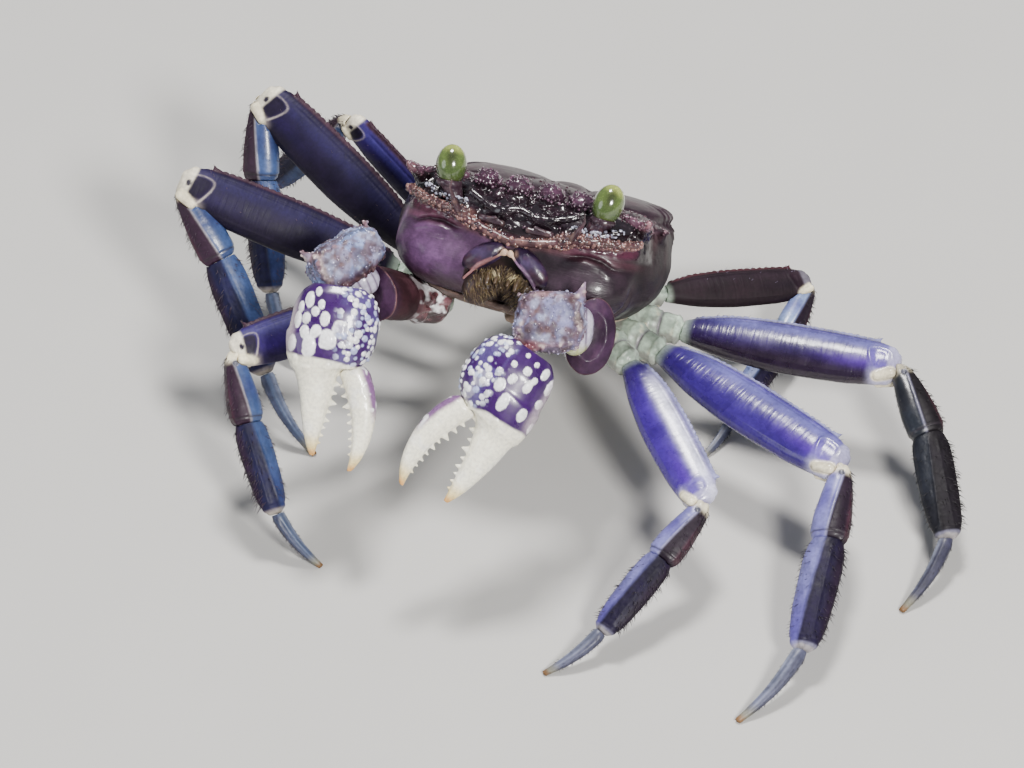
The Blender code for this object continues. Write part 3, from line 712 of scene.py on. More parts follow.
def shell_material(name, grain, roughness, coat, mottle=0.45, lines=None, line_share=0.5):
    """Painted crab shell: mottled colour, fine pores, and lines along the piece's own coordinates."""
    look = Shader(name)
    paint = look.mark("paint", "Color")
    rough = look.mark("rough")
    broad = look.noise(BROAD_PATCHES, 3.0)
    fine = look.noise(FINE_PATCHES, 2.0)
    tone = look.span(broad, 0.3, 0.7, 1.0 - mottle, 1.0 + mottle * 0.6)
    tone = look.calc("MULTIPLY", tone, look.span(fine, 0.3, 0.7, 0.86, 1.1))
    colour = look.scaled(paint, tone)
    height = look.calc("MULTIPLY", fine, 0.5)
    pores = look.span(look.cells(PORES), 0.0, 0.4)
    height = look.calc("ADD", height, look.calc("MULTIPLY", pores, 0.35))
    normal = look.bump(height, grain * MM, 0.6)
    if lines:
        wave = look.noise(1.0, 1.0, look.stretched(look.mark("place", "Vector"), lines))
        normal = look.bump(look.span(wave, 0.38, 0.62), line_share * 0.05 * MM, 0.8, normal)
    look.set(Base_Color=colour, Normal=normal)
    look.set(Roughness=look.calc("ADD", rough, look.span(broad, 0.3, 0.7, -0.05, 0.06)))
    look.set(Coat_Weight=look.span(rough, 0.28, 0.52, coat, coat * 0.1), Coat_Roughness=roughness)
    look.set(Specular_IOR_Level=look.span(rough, 0.28, 0.60, 0.5, 0.18))
    return look.material


# The body.

BODY_CURVES = curves(BODY_ROWS)
ACROSS_CURVE = curves(BACK_ACROSS)[0]
ALONG_CURVE = curves(BACK_ALONG)[0]


def body_level(points):
    """Raw level function of the bare body, in body coordinates."""
    x, y, z = points.T
    share = np.clip((y - BODY_FRONT) / (BODY_BACK - BODY_FRONT), 0.0, 1.4)
    level = np.where(z < 0, z / (1.0 - REAR_SLIMMING * share), z)
    width, front, back, power = [curve(level) for curve in BODY_CURVES]
    draw_in = 1.0 - REAR_NARROWING * smoothstep(6.0, 24.0, y)
    x = x / draw_in
    middle = (front + back) / 2
    reach = (back - front) / 2
    behind = power + 0.18 * smoothstep(-0.5, 0.5, (y - middle) / reach)
    across = (np.abs(x) / width) ** (2.0 / power)
    along = (np.abs(y - middle) / reach) ** (2.0 / behind)
    side = (across + along + 1e-9) ** (power / 2) - 1.0
    drop = (ACROSS_CURVE(np.abs(x)) ** 1.4 + ALONG_CURVE(y) ** 1.4 + 1e-9) ** (1 / 1.4)
    return np.maximum(side * 8.0, np.maximum(z + drop - BACK_TOP, -14.88 - level))


def bare_body(points):
    return in_millimetres(body_level, points)


# The lobes between the eyes, for x on either side.
LOBES = ((2.05, 0.2, 0.8), (5.75, 0.2, 0.75))
LOBE_RADII = (1.6, 1.7, 1.45)
# The hollow that holds the foot-jaws: centre and radii.
MOUTH_ROOM = ((0.0, -6.6, -10.4), (4.9, 3.8, 4.7))
# The teeth beside the eyes and those behind them: start, end, radii and blend.
SIDE_TEETH = (
    ((12.6, 1.8, -1.2), (14.8, -2.7, 0.75), (1.9, 0.2), 0.5),
    ((13.2, 6.8, -1.6), (15.8, 2.2, -0.15), (1.8, 0.2), 0.6),
)
# Rounded forms laid on the bare body: centre, radii and blend.
SWELLINGS = (
    (LOBES[0], LOBE_RADII, 0.4), (LOBES[1], LOBE_RADII, 0.4), ((9.2, -1.4, -8.2), (5.0, 4.35, 3.7), 1.6),
    ((3.0, -3.6, -2.4), (2.2, 1.4, 1.0), 0.6), ((6.0, -4.6, -2.7), (1.1, 0.9, 0.85), 0.4),
    ((7.0, 16.5, 0.5), (6.0, 8.0, 1.4), 0.8), ((0.0, 8.0, 0.8), (4.2, 5.0, 1.2), 0.8),
    ((0.0, 17.5, 0.7), (2.6, 4.2, 1.1), 0.6), ((10.8, 5.0, -0.5), (3.0, 3.4, 1.5), 0.8),
)
# Hollows of the front, behind the lobes and below them: centre, radii and blend.
FRONT_HOLLOWS = (
    ((3.9, -1.9, 0.4), (1.3, 1.7, 1.3), 0.25), ((0.0, -1.5, 0.6), (0.7, 1.9, 1.4), 0.25),
    ((1.9, -2.6, -0.1), (1.2, 1.0, 0.75), 0.25), ((6.0, -2.5, -0.1), (1.4, 1.1, 0.8), 0.25),
    ((2.7, -5.6, -2.9), (1.9, 1.1, 0.6), 0.25), ((7.6, -5.6, -2.2), (0.9, 0.8, 0.5), 0.3),
    ((5.2, -5.4, -1.6), (0.8, 0.7, 0.4), 0.25),
)

# Lines of the face, in body coordinates, for x on either side.
FRONT_MARGIN = ((0.0, -4.4, -1.2), (2.0, -4.8, -1.8), (4.0, -4.7, -1.6), (6.4, -4.0, -0.6))
EPISTOME = ((0.0, -6.3, -5.0), (3.0, -6.0, -4.4), (6.2, -5.4, -3.6))
INFRAORBITAL = ((13.9, -2.2, -2.0), (11.8, -3.8, -2.5), (9.2, -4.9, -2.8), (6.2, -5.6, -3.2))
SUBORBITAL = ((11.8, -3.2, -1.1), (10.0, -4.0, -1.7), (8.2, -4.6, -2.0), (6.8, -4.8, -1.8))
UPPER_MARGIN = ((14.5, -2.3, 0.5), (13.2, -2.1, 0.2), (11.8, -2.2, 0.7), (10.4, -2.1, 1.0), (8.0, -1.6, 0.9))
CHEEK_FOLD = ((12.0, -4.6, -5.4), (10.6, -5.2, -4.8), (8.8, -5.6, -4.6), (6.9, -5.8, -5.0))
# The seam that runs down the side of the cheek.
SUTURE = ((14.2, -2.8, -3.6), (14.8, -2.4, -6.6), (13.9, -2.2, -9.4), (11.7, -2.2, -12.2))
# Raised lines of the face: stations, radius and blend.
FACE_LINES = (
    (FRONT_MARGIN, 0.42, 0.5), (EPISTOME, 0.5, 0.7), (INFRAORBITAL, 0.5, 0.8), (UPPER_MARGIN, 0.45, 0.5),
)
# Grooves of the back.
GROOVES = (
    ((3.4, 3.2, 1.7), (5.2, 7.5, 1.6), (4.2, 12.0, 1.7)),
    ((4.2, 12.0, 1.7), (2.6, 15.0, 1.8), (2.2, 19.0, 1.5)),
    ((6.0, 6.5, 1.6), (9.0, 8.4, 1.2), (12.0, 9.2, 0.5)),
)


def mirrored(points):
    """The points with x made positive, for forms that lie alike on both sides."""
    folded = points.copy()
    folded[:, 0] = np.abs(folded[:, 0])
    return folded


def lobe_field(folded):
    return np.minimum(ball(folded, LOBES[0], LOBE_RADII), ball(folded, LOBES[1], LOBE_RADII))


def eye_turn(sign=1.0):
    return np.array(Matrix.Rotation(math.radians(EYE_TILT * sign), 3, "Y"))


def shell_field(points):
    """The dressed body: lobes, margins, orbits, cheeks and mouth frame, in body coordinates."""
    field = bare_body(points)
    folded = mirrored(points)
    x, y, z = folded.T
    for centre, radii, blend in SWELLINGS:
        field = smooth_min(field, ball(folded, centre, radii), blend)
    for start, end, radii, blend in SIDE_TEETH:
        field = smooth_min(field, bar(folded, start, end, *radii), blend)
    for stations, radius, blend in FACE_LINES:
        field = smooth_min(field, chain(folded, stations, radius), blend)
    for centre, radii, blend in FRONT_HOLLOWS:
        field = carve(field, ball(folded, centre, radii), blend)
    # The orbit with its lower rim, then the mouth's hollow and the seam and fold of the cheek.
    field = carve(field, bar(folded, (8.8, -4.5, -0.5), (13.0, -3.4, -0.5), 1.75, 1.5), 0.5)
    field = smooth_min(field, chain(folded, SUBORBITAL, 0.32), 0.5)
    field = carve(field, ball(folded, *MOUTH_ROOM), 0.5)
    field = carve(field, chain(folded, SUTURE, 0.3), 0.4)
    fold, facing = fold_line(folded)
    facing = facing * smoothstep(1.0, -1.0, y)
    field = field + 0.42 * bell(fold, 0.26) * facing - 0.22 * bell(fold - 0.75, 0.4) * facing
    lower_lip = [(px, py - 0.1, pz - 0.95) for px, py, pz in INFRAORBITAL[1:]]
    field = carve(field, chain(folded, lower_lip, 0.2), 0.4)
    for stations in GROOVES:
        field = carve(field, chain(folded, stations, 0.35), 0.7)
    field = carve(field, bar(folded, (0.0, -0.6, 2.0), (0.0, 6.5, 2.9), 0.45), 0.6)
    # Room for the eye and its stalk.
    radii = (EYE_RADIUS + 0.15, EYE_RADIUS + 0.15, EYE_HALF_HEIGHT + 0.15)
    field = carve(field, ball(folded, EYE_PLACE, radii, eye_turn()), 0.15)
    field = carve(field, bar(folded, STALK_LOW, STALK_HIGH, 1.25, 1.45), 0.2)
    # Oblique raised lines on the sides of the back.
    slant = (y + x * 0.55 - 17.0) / 1.5
    lines = bell(slant - np.round(slant), 0.16) * smoothstep(9.0, 12.0, x)
    lines = lines * smoothstep(13.0, 15.0, y) * smoothstep(27.0, 24.0, y)
    field = field - 0.14 * lines * smoothstep(-3.5, -1.0, z)
    rough = smoothstep(5.0, 1.0, y) * smoothstep(-4.6, -3.4, z)
    return roughen(field, points, 0.03 + 0.17 * rough, 1.0, 3)


def fold_line(points):
    """Height below the fold of the upper cheek, seen from in front, and the share that the fold has there."""
    x, _, z = points.T
    side = np.abs(x)
    ends = smoothstep(14.4, 11.0, side) * smoothstep(5.6, 8.4, side)
    sides, _, levels = zip(*CHEEK_FOLD[::-1])
    return np.interp(side, sides, levels) - z, ends


def near_chain(points, stations, radius):
    return chain(mirrored(points), stations, radius)


# Colours of the shell.
SHELL = {
    "ground": (0.030, 0.012, 0.022), "patch": (0.050, 0.018, 0.028), "flank": (0.022, 0.014, 0.017),
    "front": (0.012, 0.006, 0.010), "front patch": (0.044, 0.018, 0.032),
    "lit cheek": (0.066, 0.026, 0.070), "shaded cheek": (0.018, 0.009, 0.015),
    "lit bulge": (0.135, 0.062, 0.155), "shaded bulge": (0.036, 0.017, 0.032),
    "cheek top": (0.09, 0.030, 0.045), "fold": (0.016, 0.005, 0.010), "mouth": (0.024, 0.012, 0.012),
    "seam": (0.014, 0.006, 0.010), "ridge": (0.11, 0.052, 0.048), "ridge patch": (0.050, 0.020, 0.028),
    "lip": (0.070, 0.028, 0.034), "lip patch": (0.17, 0.085, 0.078), "red strip": (0.075, 0.016, 0.035),
    "margin": (0.085, 0.036, 0.060), "orbit": (0.014, 0.007, 0.010), "tooth tip": (0.26, 0.12, 0.14),
    "lobe": (0.070, 0.028, 0.055), "lit side edge": (0.26, 0.13, 0.26),
}


def paint_shell(points):
    """The shell's colours and roughness; the cheek on the crab's right is lit and the other is in shade."""
    x, y, z = points.T
    side = np.abs(x)
    folded = mirrored(points)
    paint = Paint(len(points), SHELL["ground"])
    paint.lay(SHELL["patch"], smoothstep(0.1, 0.7, layered(points, 4.0, 11)) * 0.7)
    flank = smoothstep(0.5, -2.0, z)
    paint.lay(SHELL["flank"], flank)
    paint.lay(UMBER, flank * smoothstep(0.0, 0.6, layered(points, 3.0, 12)) * 0.6)
    front = smoothstep(1.5, -0.5, y)
    upper = front * smoothstep(-4.5, -3.0, z)
    paint.lay(SHELL["front"], upper)
    paint.lay(SHELL["front patch"], upper * smoothstep(0.25, 0.7, layered(points, 1.3, 13)) * 0.6)
    cheek = front * smoothstep(-4.0, -4.6, z) * smoothstep(15.0, 14.0, side)
    cheek = cheek * smoothstep(-12.6, -11.6, z)
    paint.lay(SHELL["lit cheek"], cheek * smoothstep(1.0, -1.0, x))
    paint.lay(SHELL["shaded cheek"], cheek * smoothstep(-1.0, 1.0, x))
    lit = bell(side - 9.0, 3.6) * bell(z + 8.6, 2.6)
    paint.lay(SHELL["lit bulge"], cheek * lit * 0.7 * smoothstep(1.0, -1.0, x))
    paint.lay(SHELL["shaded bulge"], cheek * lit * 0.7 * smoothstep(-1.0, 1.0, x))
    paint.lay(SHELL["cheek top"], cheek * smoothstep(-5.6, -4.6, z) * 0.7)
    low_edge = cheek * smoothstep(-10.2, -11.8, z)
    paint.lay(UMBER, low_edge * 0.8)
    # Painted shade: a dark line along the groove of the cheek's fold.
    fold, ends = fold_line(points)
    paint.lay(SHELL["fold"], bell(fold, 0.34) * ends * cheek * 0.95)
    # Painted shade: the hollow that holds the foot-jaws is painted darker.
    hollow = ball(points, *MOUTH_ROOM)
    paint.lay(SHELL["mouth"], smoothstep(0.35, 0.12, hollow))
    paint.lay(SHELL["seam"], smoothstep(0.45, 0.0, near_chain(points, SUTURE, 0.2)) * 0.85)
    band = smoothstep(0.8, 0.1, near_chain(points, INFRAORBITAL, 0.3))
    paint.lay(SHELL["ridge"], band * (0.8 + 0.2 * noise(points, 0.7, 2)))
    paint.lay(SHELL["ridge patch"], band * smoothstep(0.1, 0.5, noise(points, 0.8, 5)) * 0.8)
    epistome = smoothstep(1.2, 0.2, near_chain(points, EPISTOME, 0.4))
    paint.lay(SHELL["lip"], epistome)
    paint.lay(SHELL["lip patch"], epistome * smoothstep(0.0, 0.5, noise(points, 0.8, 4)) * 0.8)
    strip = smoothstep(0.8, 0.1, near_chain(points, [(a, b, c - 0.95) for a, b, c in INFRAORBITAL], 0.35))
    paint.lay(SHELL["red strip"], strip * 0.85 * (1 - band))
    margin = smoothstep(0.6, 0.1, near_chain(points, UPPER_MARGIN, 0.42))
    paint.lay(SHELL["margin"], margin)
    # Painted shade: the orbit hollow under the eye is painted near black.
    orbit = smoothstep(2.2, 1.6, bar(folded, (8.8, -3.6, -0.5), (13.0, -2.8, -0.5), 0.0))
    paint.lay(SHELL["orbit"], orbit * (1 - margin) * (1 - band) * 0.95)
    tips = smoothstep(1.1, 0.2, bar(folded, (14.8, -2.7, 0.75), (14.5, -2.0, 0.4), 0.0))
    paint.lay(SHELL["tooth tip"], tips)
    lobes = smoothstep(0.3, 0.0, lobe_field(folded)) * smoothstep(0.2, 1.4, z)
    paint.lay(SHELL["lobe"], lobes * 0.9)
    # Painted highlight: a pale line down the side edge, on the crab's right only, the lit side.
    edge = bar(folded, (14.2, -2.4, -2.6), (14.6, -1.8, -8.0), 0.0)
    paint.lay(SHELL["lit side edge"], smoothstep(0.9, 0.2, edge) * smoothstep(0.5, -0.5, x) * 0.8)
    paint.shade(1.0 + 0.18 * layered(points, 1.4, 21))
    wet = smoothstep(3.0, 0.0, y) * smoothstep(-4.6, -3.6, z)
    top = smoothstep(-1.0, 0.3, z) * smoothstep(1.0, 4.0, y)
    return paint, 0.60 - 0.40 * wet - 0.18 * cheek - 0.16 * top


def keep_above(field, offset):
    """Part of the body on the shell's side of the plane where the breast plate begins."""
    def parted(points):
        normal = np.array((0.0, -0.13, 1.0))
        normal /= np.linalg.norm(normal)
        height = (points - np.array((0.0, BODY_FRONT, -12.6))) @ normal
        return np.maximum(field(points), offset - height if offset > 0 else height - offset)
    return parted


def make_shell(material):
    field = keep_above(shell_field, 0.12)
    points, quads = surface(field, (-17.6, -8.0, -14.2), (17.6, 29.2, 3.4), 0.2)
    marks = skin_marks(points, *paint_shell(points))
    add_piece("shell", from_body(points), quads, marks, material, "shell", ["carapace"])
    face_grains(points, quads, coat_material("grain_gloss", True))


def breast_field(points):
    field = bare_body(points)
    x, y, z = points.T
    field = carve(field, ball(points, *MOUTH_ROOM), 0.5)
    plates = (y + 0.25 * np.abs(x) - 2.0) / 4.2
    field = field + 0.3 * bell(plates - np.round(plates), 0.06) * smoothstep(-12.0, -13.0, z)
    field = field + 0.4 * bell(x, 0.25) * smoothstep(4.0, 2.0, y) * smoothstep(-12.5, -13.5, z)
    return roughen(field, points, 0.06, 1.6, 8)


# Colours of the breast plate.
BREAST = {
    "ground": (0.40, 0.33, 0.24), "patch": (0.20, 0.13, 0.10), "front": (0.10, 0.055, 0.05),
}


def make_breast(material):
    field = keep_above(breast_field, -0.12)
    points, quads = surface(field, (-15.5, -5.6, -15.2), (15.5, 26.0, -8.0), 0.25)
    paint = Paint(len(points), BREAST["ground"])
    paint.lay(BREAST["patch"], smoothstep(-0.1, 0.5, layered(points, 2.2, 9)) * 0.7)
    # Painted shade: the breast plate is darker towards its front, under the mouth and the claws.
    paint.lay(BREAST["front"], smoothstep(2.0, -1.5, points[:, 1]) * 0.85)
    marks = skin_marks(points, paint, 0.5)
    add_piece("breast_plate", from_body(points), quads, marks, material, "under", ["sternum"])


def abdomen_field(points):
    x, y, z = points.T
    share = np.clip((y - 4.5) / 15.5, 0.0, 1.0)
    width = 1.0 + 3.6 * share ** 0.8
    slimming = 1.0 - REAR_SLIMMING * (y - BODY_FRONT) / (BODY_BACK - BODY_FRONT)
    top = (-BODY_DEPTH - 0.1) * slimming - 0.12
    edge = np.maximum(np.abs(x) - width, np.abs(y - 12.3) - 7.8)
    crown = 0.25 * (1.0 - np.clip(np.abs(x) / (width + 0.01), 0.0, 1.0) ** 2)
    ring = (y - 4.5) / 2.6
    slab = np.abs(z - (top - 0.55)) - (0.38 + crown - 0.14 * bell(ring - np.round(ring), 0.06))
    return -smooth_min(-edge, -slab, 0.5)


# Colours of the tail flap.
FLAP = {
    "ground": (0.34, 0.26, 0.20), "patch": (0.16, 0.09, 0.09),
}


def make_abdomen(material):
    points, quads = surface(abdomen_field, (-5.2, 4.0, -15.6), (5.2, 20.6, -10.0), 0.22)
    paint = Paint(len(points), FLAP["ground"])
    paint.lay(FLAP["patch"], smoothstep(0.0, 0.6, layered(points, 1.8, 14)) * 0.6)
    marks = skin_marks(points, paint, 0.5)
    add_piece("tail_flap", from_body(points), quads, marks, material, "under", ["abdomen"])


# Eyes and mouth.

def eye_material():
    look = Shader("eye_glass")
    facets = look.cells(FACETS)
    dots = look.span(facets, 0.1, 0.5, 1.15, 0.70)
    colour = look.scaled(look.mark("paint", "Color"), dots)
    look.set(Base_Color=colour, Roughness=0.18, Coat_Weight=1.0, Coat_Roughness=0.05)
    look.set(Normal=look.bump(facets, 0.012 * MM, 0.4))
    return look.material


# Colours of the eyes and their stalks.
EYE = {
    "middle": (0.13, 0.19, 0.045), "foot": (0.085, 0.10, 0.03), "pupil": (0.035, 0.042, 0.015),
    "stalk": (0.030, 0.014, 0.022), "stalk patch": (0.10, 0.05, 0.06),
}


# Where the eye's dark spot lies, in eye radii.
PUPIL = (0.20, -0.84, 0.38)


def make_eyes(glass, dark):
    radii = np.array((EYE_RADIUS, EYE_RADIUS, EYE_HALF_HEIGHT))
    for side, sign in SIDES:
        turn = eye_turn(sign)
        mirror = np.array((sign, 1.0, 1.0))
        centre = EYE_PLACE * mirror
        low = STALK_LOW * mirror
        high = STALK_HIGH * mirror

        def globe(points):
            return ball(points, centre, radii, turn)

        def stalk(points):
            form = bar(points, low, high, 1.1, 1.35)
            form = smooth_min(form, ball(points, high + (0.0, 0.0, -0.3), (1.55, 1.55, 0.7)), 0.3)
            form = form - 0.05 * layered(points, 0.7, 33)
            return np.maximum(form, 0.04 - globe(points))

        points, quads = surface(globe, centre - 2.7, centre + 2.7, 0.09)
        local = (points - centre) @ turn / radii
        paint = Paint(len(points), OLIVE)
        paint.lay(EYE["middle"], smoothstep(-0.3, 0.2, local[:, 2]) * 0.7)
        paint.lay(LIME, smoothstep(0.50, 0.92, local[:, 2] + 0.12 * local[:, 0]))
        paint.lay(EYE["foot"], smoothstep(-0.45, -0.95, local[:, 2]))
        gap = np.linalg.norm((local - PUPIL) * (1.0, 1.0, 0.75), axis=1)
        paint.lay(EYE["pupil"], smoothstep(0.62, 0.10, gap) * 0.85)
        paint.shade(1.0 + 0.12 * noise(points, 0.35, 31))
        marks = {"paint": paint.values}
        add_piece("eyeball_" + side, from_body(points), quads, marks, glass, "eye", ["eye_" + side])

        points, quads = surface(stalk, centre - (4.4, 3.0, 6.2), centre + (4.4, 3.0, 0.5), 0.11)
        paint = Paint(len(points), EYE["stalk"])
        paint.lay(EYE["stalk patch"], smoothstep(0.2, 0.8, noise(points, 0.5, 34)) * 0.6)
        marks = skin_marks(points, paint, 0.25)
        add_piece("stalk_" + side, from_body(points), quads, marks, dark, "stalk", ["eyestalk_" + side])


# The parts of a feeler that join the first one: start, end, radii and blend.
FEELER_LINKS = (
    ((7.0, -6.1, -2.8), (7.6, -6.6, -1.8), (0.42, 0.36), 0.15),
    ((7.6, -6.6, -1.8), (8.2, -7.3, -0.6), (0.3, 0.16), 0.1),
    ((8.2, -7.3, -0.6), (8.1, -7.7, 0.4), (0.16, 0.08), 0.05),
)


def make_feelers(dark):
    for side, sign in SIDES:

        def feeler(points):
            folded = points.copy()
            folded[:, 0] *= sign
            form = ball(folded, (6.6, -5.5, -3.0), (0.9, 0.7, 0.7))
            for start, end, radii, blend in FEELER_LINKS:
                form = smooth_min(form, bar(folded, start, end, *radii), blend)
            form = np.minimum(form, bar(folded, (1.6, -5.7, -3.2), (4.2, -5.4, -3.1), 0.36, 0.42))
            form = np.minimum(form, bar(folded, (4.0, -5.5, -3.1), (2.4, -6.0, -2.7), 0.26, 0.2))
            return form - 0.03 * noise(points, 0.4, 41)

        root = np.array((6.6, -5.3, -3.3)) * (sign, 1.0, 1.0)
        low = np.minimum(root - 1.5, (1.0 if sign > 0 else -9.4, -8.4, -4.6))
        high = np.maximum(root + 1.5, (9.4 if sign > 0 else -1.0, -4.0, 1.2))
        points, quads = surface(feeler, low, high, 0.09)
        paint = Paint(len(points), FEELER_BROWN)
        paint.lay(TAN, smoothstep(0.1, 0.7, noise(points, 0.6, 42)) * 0.3)
        # Painted shade: the inner parts, tucked into their pits under the front, are painted near black.
        paint.lay(FOSSA_SHADE, smoothstep(5.0, 3.6, np.abs(points[:, 0])) * 0.7)
        marks = skin_marks(points, paint, 0.28)
        add_piece("feeler_" + side, from_body(points), quads, marks, dark, "stalk", ["antenna_" + side])


# Grains and bristles.

def grain_shape():
    """A small round body of 42 points and 80 faces."""
    golden = (1.0 + 5.0 ** 0.5) / 2.0
    corners = [(-1, golden, 0), (1, golden, 0), (-1, -golden, 0), (1, -golden, 0)]
    corners += [(0, y, z) for z, y in ((golden, -1), (golden, 1), (-golden, -1), (-golden, 1))]
    corners += [(golden, 0, -1), (golden, 0, 1), (-golden, 0, -1), (-golden, 0, 1)]
    points = [np.array(corner, float) / np.linalg.norm(corner) for corner in corners]
    faces = []
    for a in range(12):
        for b in range(a + 1, 12):
            for c in range(b + 1, 12):
                sides = [np.linalg.norm(points[i] - points[j]) for i, j in ((a, b), (b, c), (a, c))]
                if max(sides) < 1.1:
                    out = np.cross(points[b] - points[a], points[c] - points[a]) @ points[a] > 0
                    faces.append((a, b, c) if out else (a, c, b))
    split, middles = [], {}
    for face in faces:
        between = []
        for i, j in ((0, 1), (1, 2), (2, 0)):
            key = tuple(sorted((face[i], face[j])))
            if key not in middles:
                middle = points[key[0]] + points[key[1]]
                middles[key] = len(points)
                points.append(middle / np.linalg.norm(middle))
            between.append(middles[key])
        a, b, c = face
        ab, bc, ca = between
        split += [(a, ab, ca), (b, bc, ab), (c, ca, bc), (ab, bc, ca)]
    return np.array(points), np.array(split)


def side_axes(axis):
    """Two unit vectors square to each axis."""
    helper = np.where(np.abs(axis[:, 2:]) < 0.8, (0.0, 0.0, 1.0), (1.0, 0.0, 0.0))
    first = np.cross(axis, helper)
    first /= np.linalg.norm(first, axis=1)[:, None]
    return first, np.cross(axis, first)


def thinned(points, gap, random):
    """At most one point in each cell of the given size, drawn at random."""
    order = random.permutation(len(points))
    cells = np.floor(points[order] / gap).astype(np.int64)
    _, first = np.unique(cells, axis=0, return_index=True)
    return order[np.sort(first)]


# Half widths, on the map, of the patches of a grain and of a bristle's two rings.
GRAIN_PATCH = 0.0014
RING_PATCHES = (0.0012, 0.0007)
# The rings of a bristle: share of its length and of its width.
RINGS = ((-0.12, 1.0), (0.45, 0.72))
# Close to thirds of a turn.
RING_ANGLES = (0.0, 2.094, 4.189)


def add_copies(name, points, faces, patch, colours, rough, material, slot, unwrap):
    """Copies of one small form as one piece; points has a row for each copy, unwrap its place on the map."""
    count = points.shape[1]
    places = points.reshape(-1, 3)
    copied = (faces[None] + (np.arange(len(points)) * count)[:, None, None]).reshape(-1, 3)
    marks = {"paint": np.repeat(colours, count, axis=0), "rough": np.full(len(places), rough)}
    marks["place"] = places
    item = add_piece(name, places, copied, marks, material, slot)
    lay_map(item, (unwrap[:, None] + patch[None]).reshape(-1, 2))


def add_grains(name, places, normals, sizes, colours, material, slot, unwrap):
    """Round grains with their lower half in the surface."""
    shape, faces = grain_shape()
    first, second = side_axes(normals)
    spread = sizes[:, None, None]
    local = shape[None, :, 0:1] * first[:, None] + shape[None, :, 1:2] * second[:, None]
    points = places[:, None] + local * spread + shape[None, :, 2:3] * normals[:, None] * spread * 0.85
    add_copies(name, points, faces, shape[:, :2] * GRAIN_PATCH, colours, 0.14, material, slot, unwrap)


def add_bristles(name, roots, aims, bends, lengths, widths, colours, material, slot, unwrap):
    """Bent three-sided bristles that taper to a point."""
    first, second = side_axes(aims)
    ring = [np.array((math.cos(turn), math.sin(turn))) for turn in RING_ANGLES]
    rows, patch = [], []
    for (share, thick), size in zip(RINGS, RING_PATCHES):
        bent = bends * (lengths * share * share * np.sign(share))[:, None]
        centre = roots + aims * (lengths * share)[:, None] + bent
        for turn in ring:
            rows.append(centre + (first * turn[0] + second * turn[1]) * (widths * thick)[:, None])
            patch.append(turn * size)
    rows.append(roots + aims * lengths[:, None] + bends * lengths[:, None])
    patch.append(np.zeros(2))
    faces = []
    for k in range(3):
        after = (k + 1) % 3
        faces += [(k, after, after + 3), (k, after + 3, k + 3), (k + 3, after + 3, 6)]
    points = np.stack(rows, axis=1)
    add_copies(name, points, np.array(faces), np.array(patch), colours, 0.45, material, slot, unwrap)


def lay_map(item, places):
    """Write the map coordinates of the points to the corners of the faces."""
    mesh = item.data
    layer = mesh.uv_layers.new(name="OFBake")
    corners = np.zeros(len(mesh.loops), np.int32)
    mesh.loops.foreach_get("vertex_index", corners)
    layer.data.foreach_set("uv", places[corners].astype(np.float32).ravel())


def coat_material(name, gloss):
    """The look of grains and bristles, which are too small for a pattern of their own."""
    look = Shader(name)
    tone = look.span(look.noise(COAT_PATCHES), 0.3, 0.7, 0.8, 1.15)
    look.set(Base_Color=look.scaled(look.mark("paint", "Color"), tone), Roughness=0.14 if gloss else 0.5)
    look.set(Coat_Weight=0.9 if gloss else 0.1, Coat_Roughness=0.06)
    return look.material


def face_grains(points, quads, material):
    """Grains on the lobes, the front, the orbits' edges and the ridges below them."""
    random = np.random.default_rng(17)
    normals = mesh_normals(points, quads)
    folded = mirrored(points)
    side, y, z = folded.T
    lobes = lobe_field(folded)
    front = (y < 1.4) & (z > -4.4) & (side < 8.4)
    ridge = near_chain(points, INFRAORBITAL, 0.6)
    # Each zone's points, the gap between its grains, their radius, colour and spread of sizes.
    zones = (
        ((lobes < 0.25) & (z > 0.2) & (y < 2.0), 0.62, 0.16, (0.080, 0.036, 0.062), 0.4),
        (front & (lobes > 0.3), 1.3, 0.17, (0.034, 0.016, 0.026), 0.5),
        (ridge < 0.2, 0.62, 0.17, (0.17, 0.085, 0.075), 0.45),
        ((ridge < 0.35) & (noise(points, 1.6, 18) > 0.1), 0.45, 0.12, (0.10, 0.045, 0.050), 0.5),
        (near_chain(points, EPISTOME, 0.9) < 0.0, 0.85, 0.18, (0.22, 0.11, 0.095), 0.5),
        (near_chain(points, SUBORBITAL, 0.4) < 0.1, 0.55, 0.17, (0.34, 0.34, 0.44), 0.3),
        (near_chain(points, UPPER_MARGIN, 0.5) < 0.05, 0.75, 0.14, (0.11, 0.050, 0.075), 0.4),
        ((side > 12.6) & (y < 2.0) & (z > -0.6), 0.9, 0.13, (0.12, 0.055, 0.075), 0.4),
        ((y > 2.0) & (y < 9.0) & (z > -0.5), 1.3, 0.12, (0.050, 0.020, 0.030), 0.4),
        ((z > 0.0) & (side > 8.4) & (y < 6.0), 1.1, 0.12, (0.060, 0.024, 0.036), 0.4),
    )
    chosen, sizes, colours = [], [], []
    for inside, gap, size, colour, spread in zones:
        found = np.flatnonzero(inside & (z > -5.6))
        found = found[thinned(points[found], gap, random)]
        chosen.append(found)
        scale = random.uniform(1.0 - spread, 1.0 + spread * 1.3, len(found))
        sizes.append(size * scale)
        tone = random.uniform(0.45, 1.6, (len(found), 1))
        colours.append(np.array(colour) * tone)
    chosen = np.concatenate(chosen)
    upward = points[chosen, 2] + points[chosen, 1] * 0.4
    unwrap = np.c_[0.5 + points[chosen, 0] / 40.0, 0.5 + upward / 40.0]
    places = points[chosen] + normals[chosen] * 0.02
    add_grains("face_grains", from_body(places), turned_out(normals[chosen]), np.concatenate(sizes),
               np.concatenate(colours), material, "shell", unwrap)


def turned_out(normals):
    """Directions from body coordinates to the solids' own."""
    return from_body(normals) - from_body(np.zeros((1, 3)))


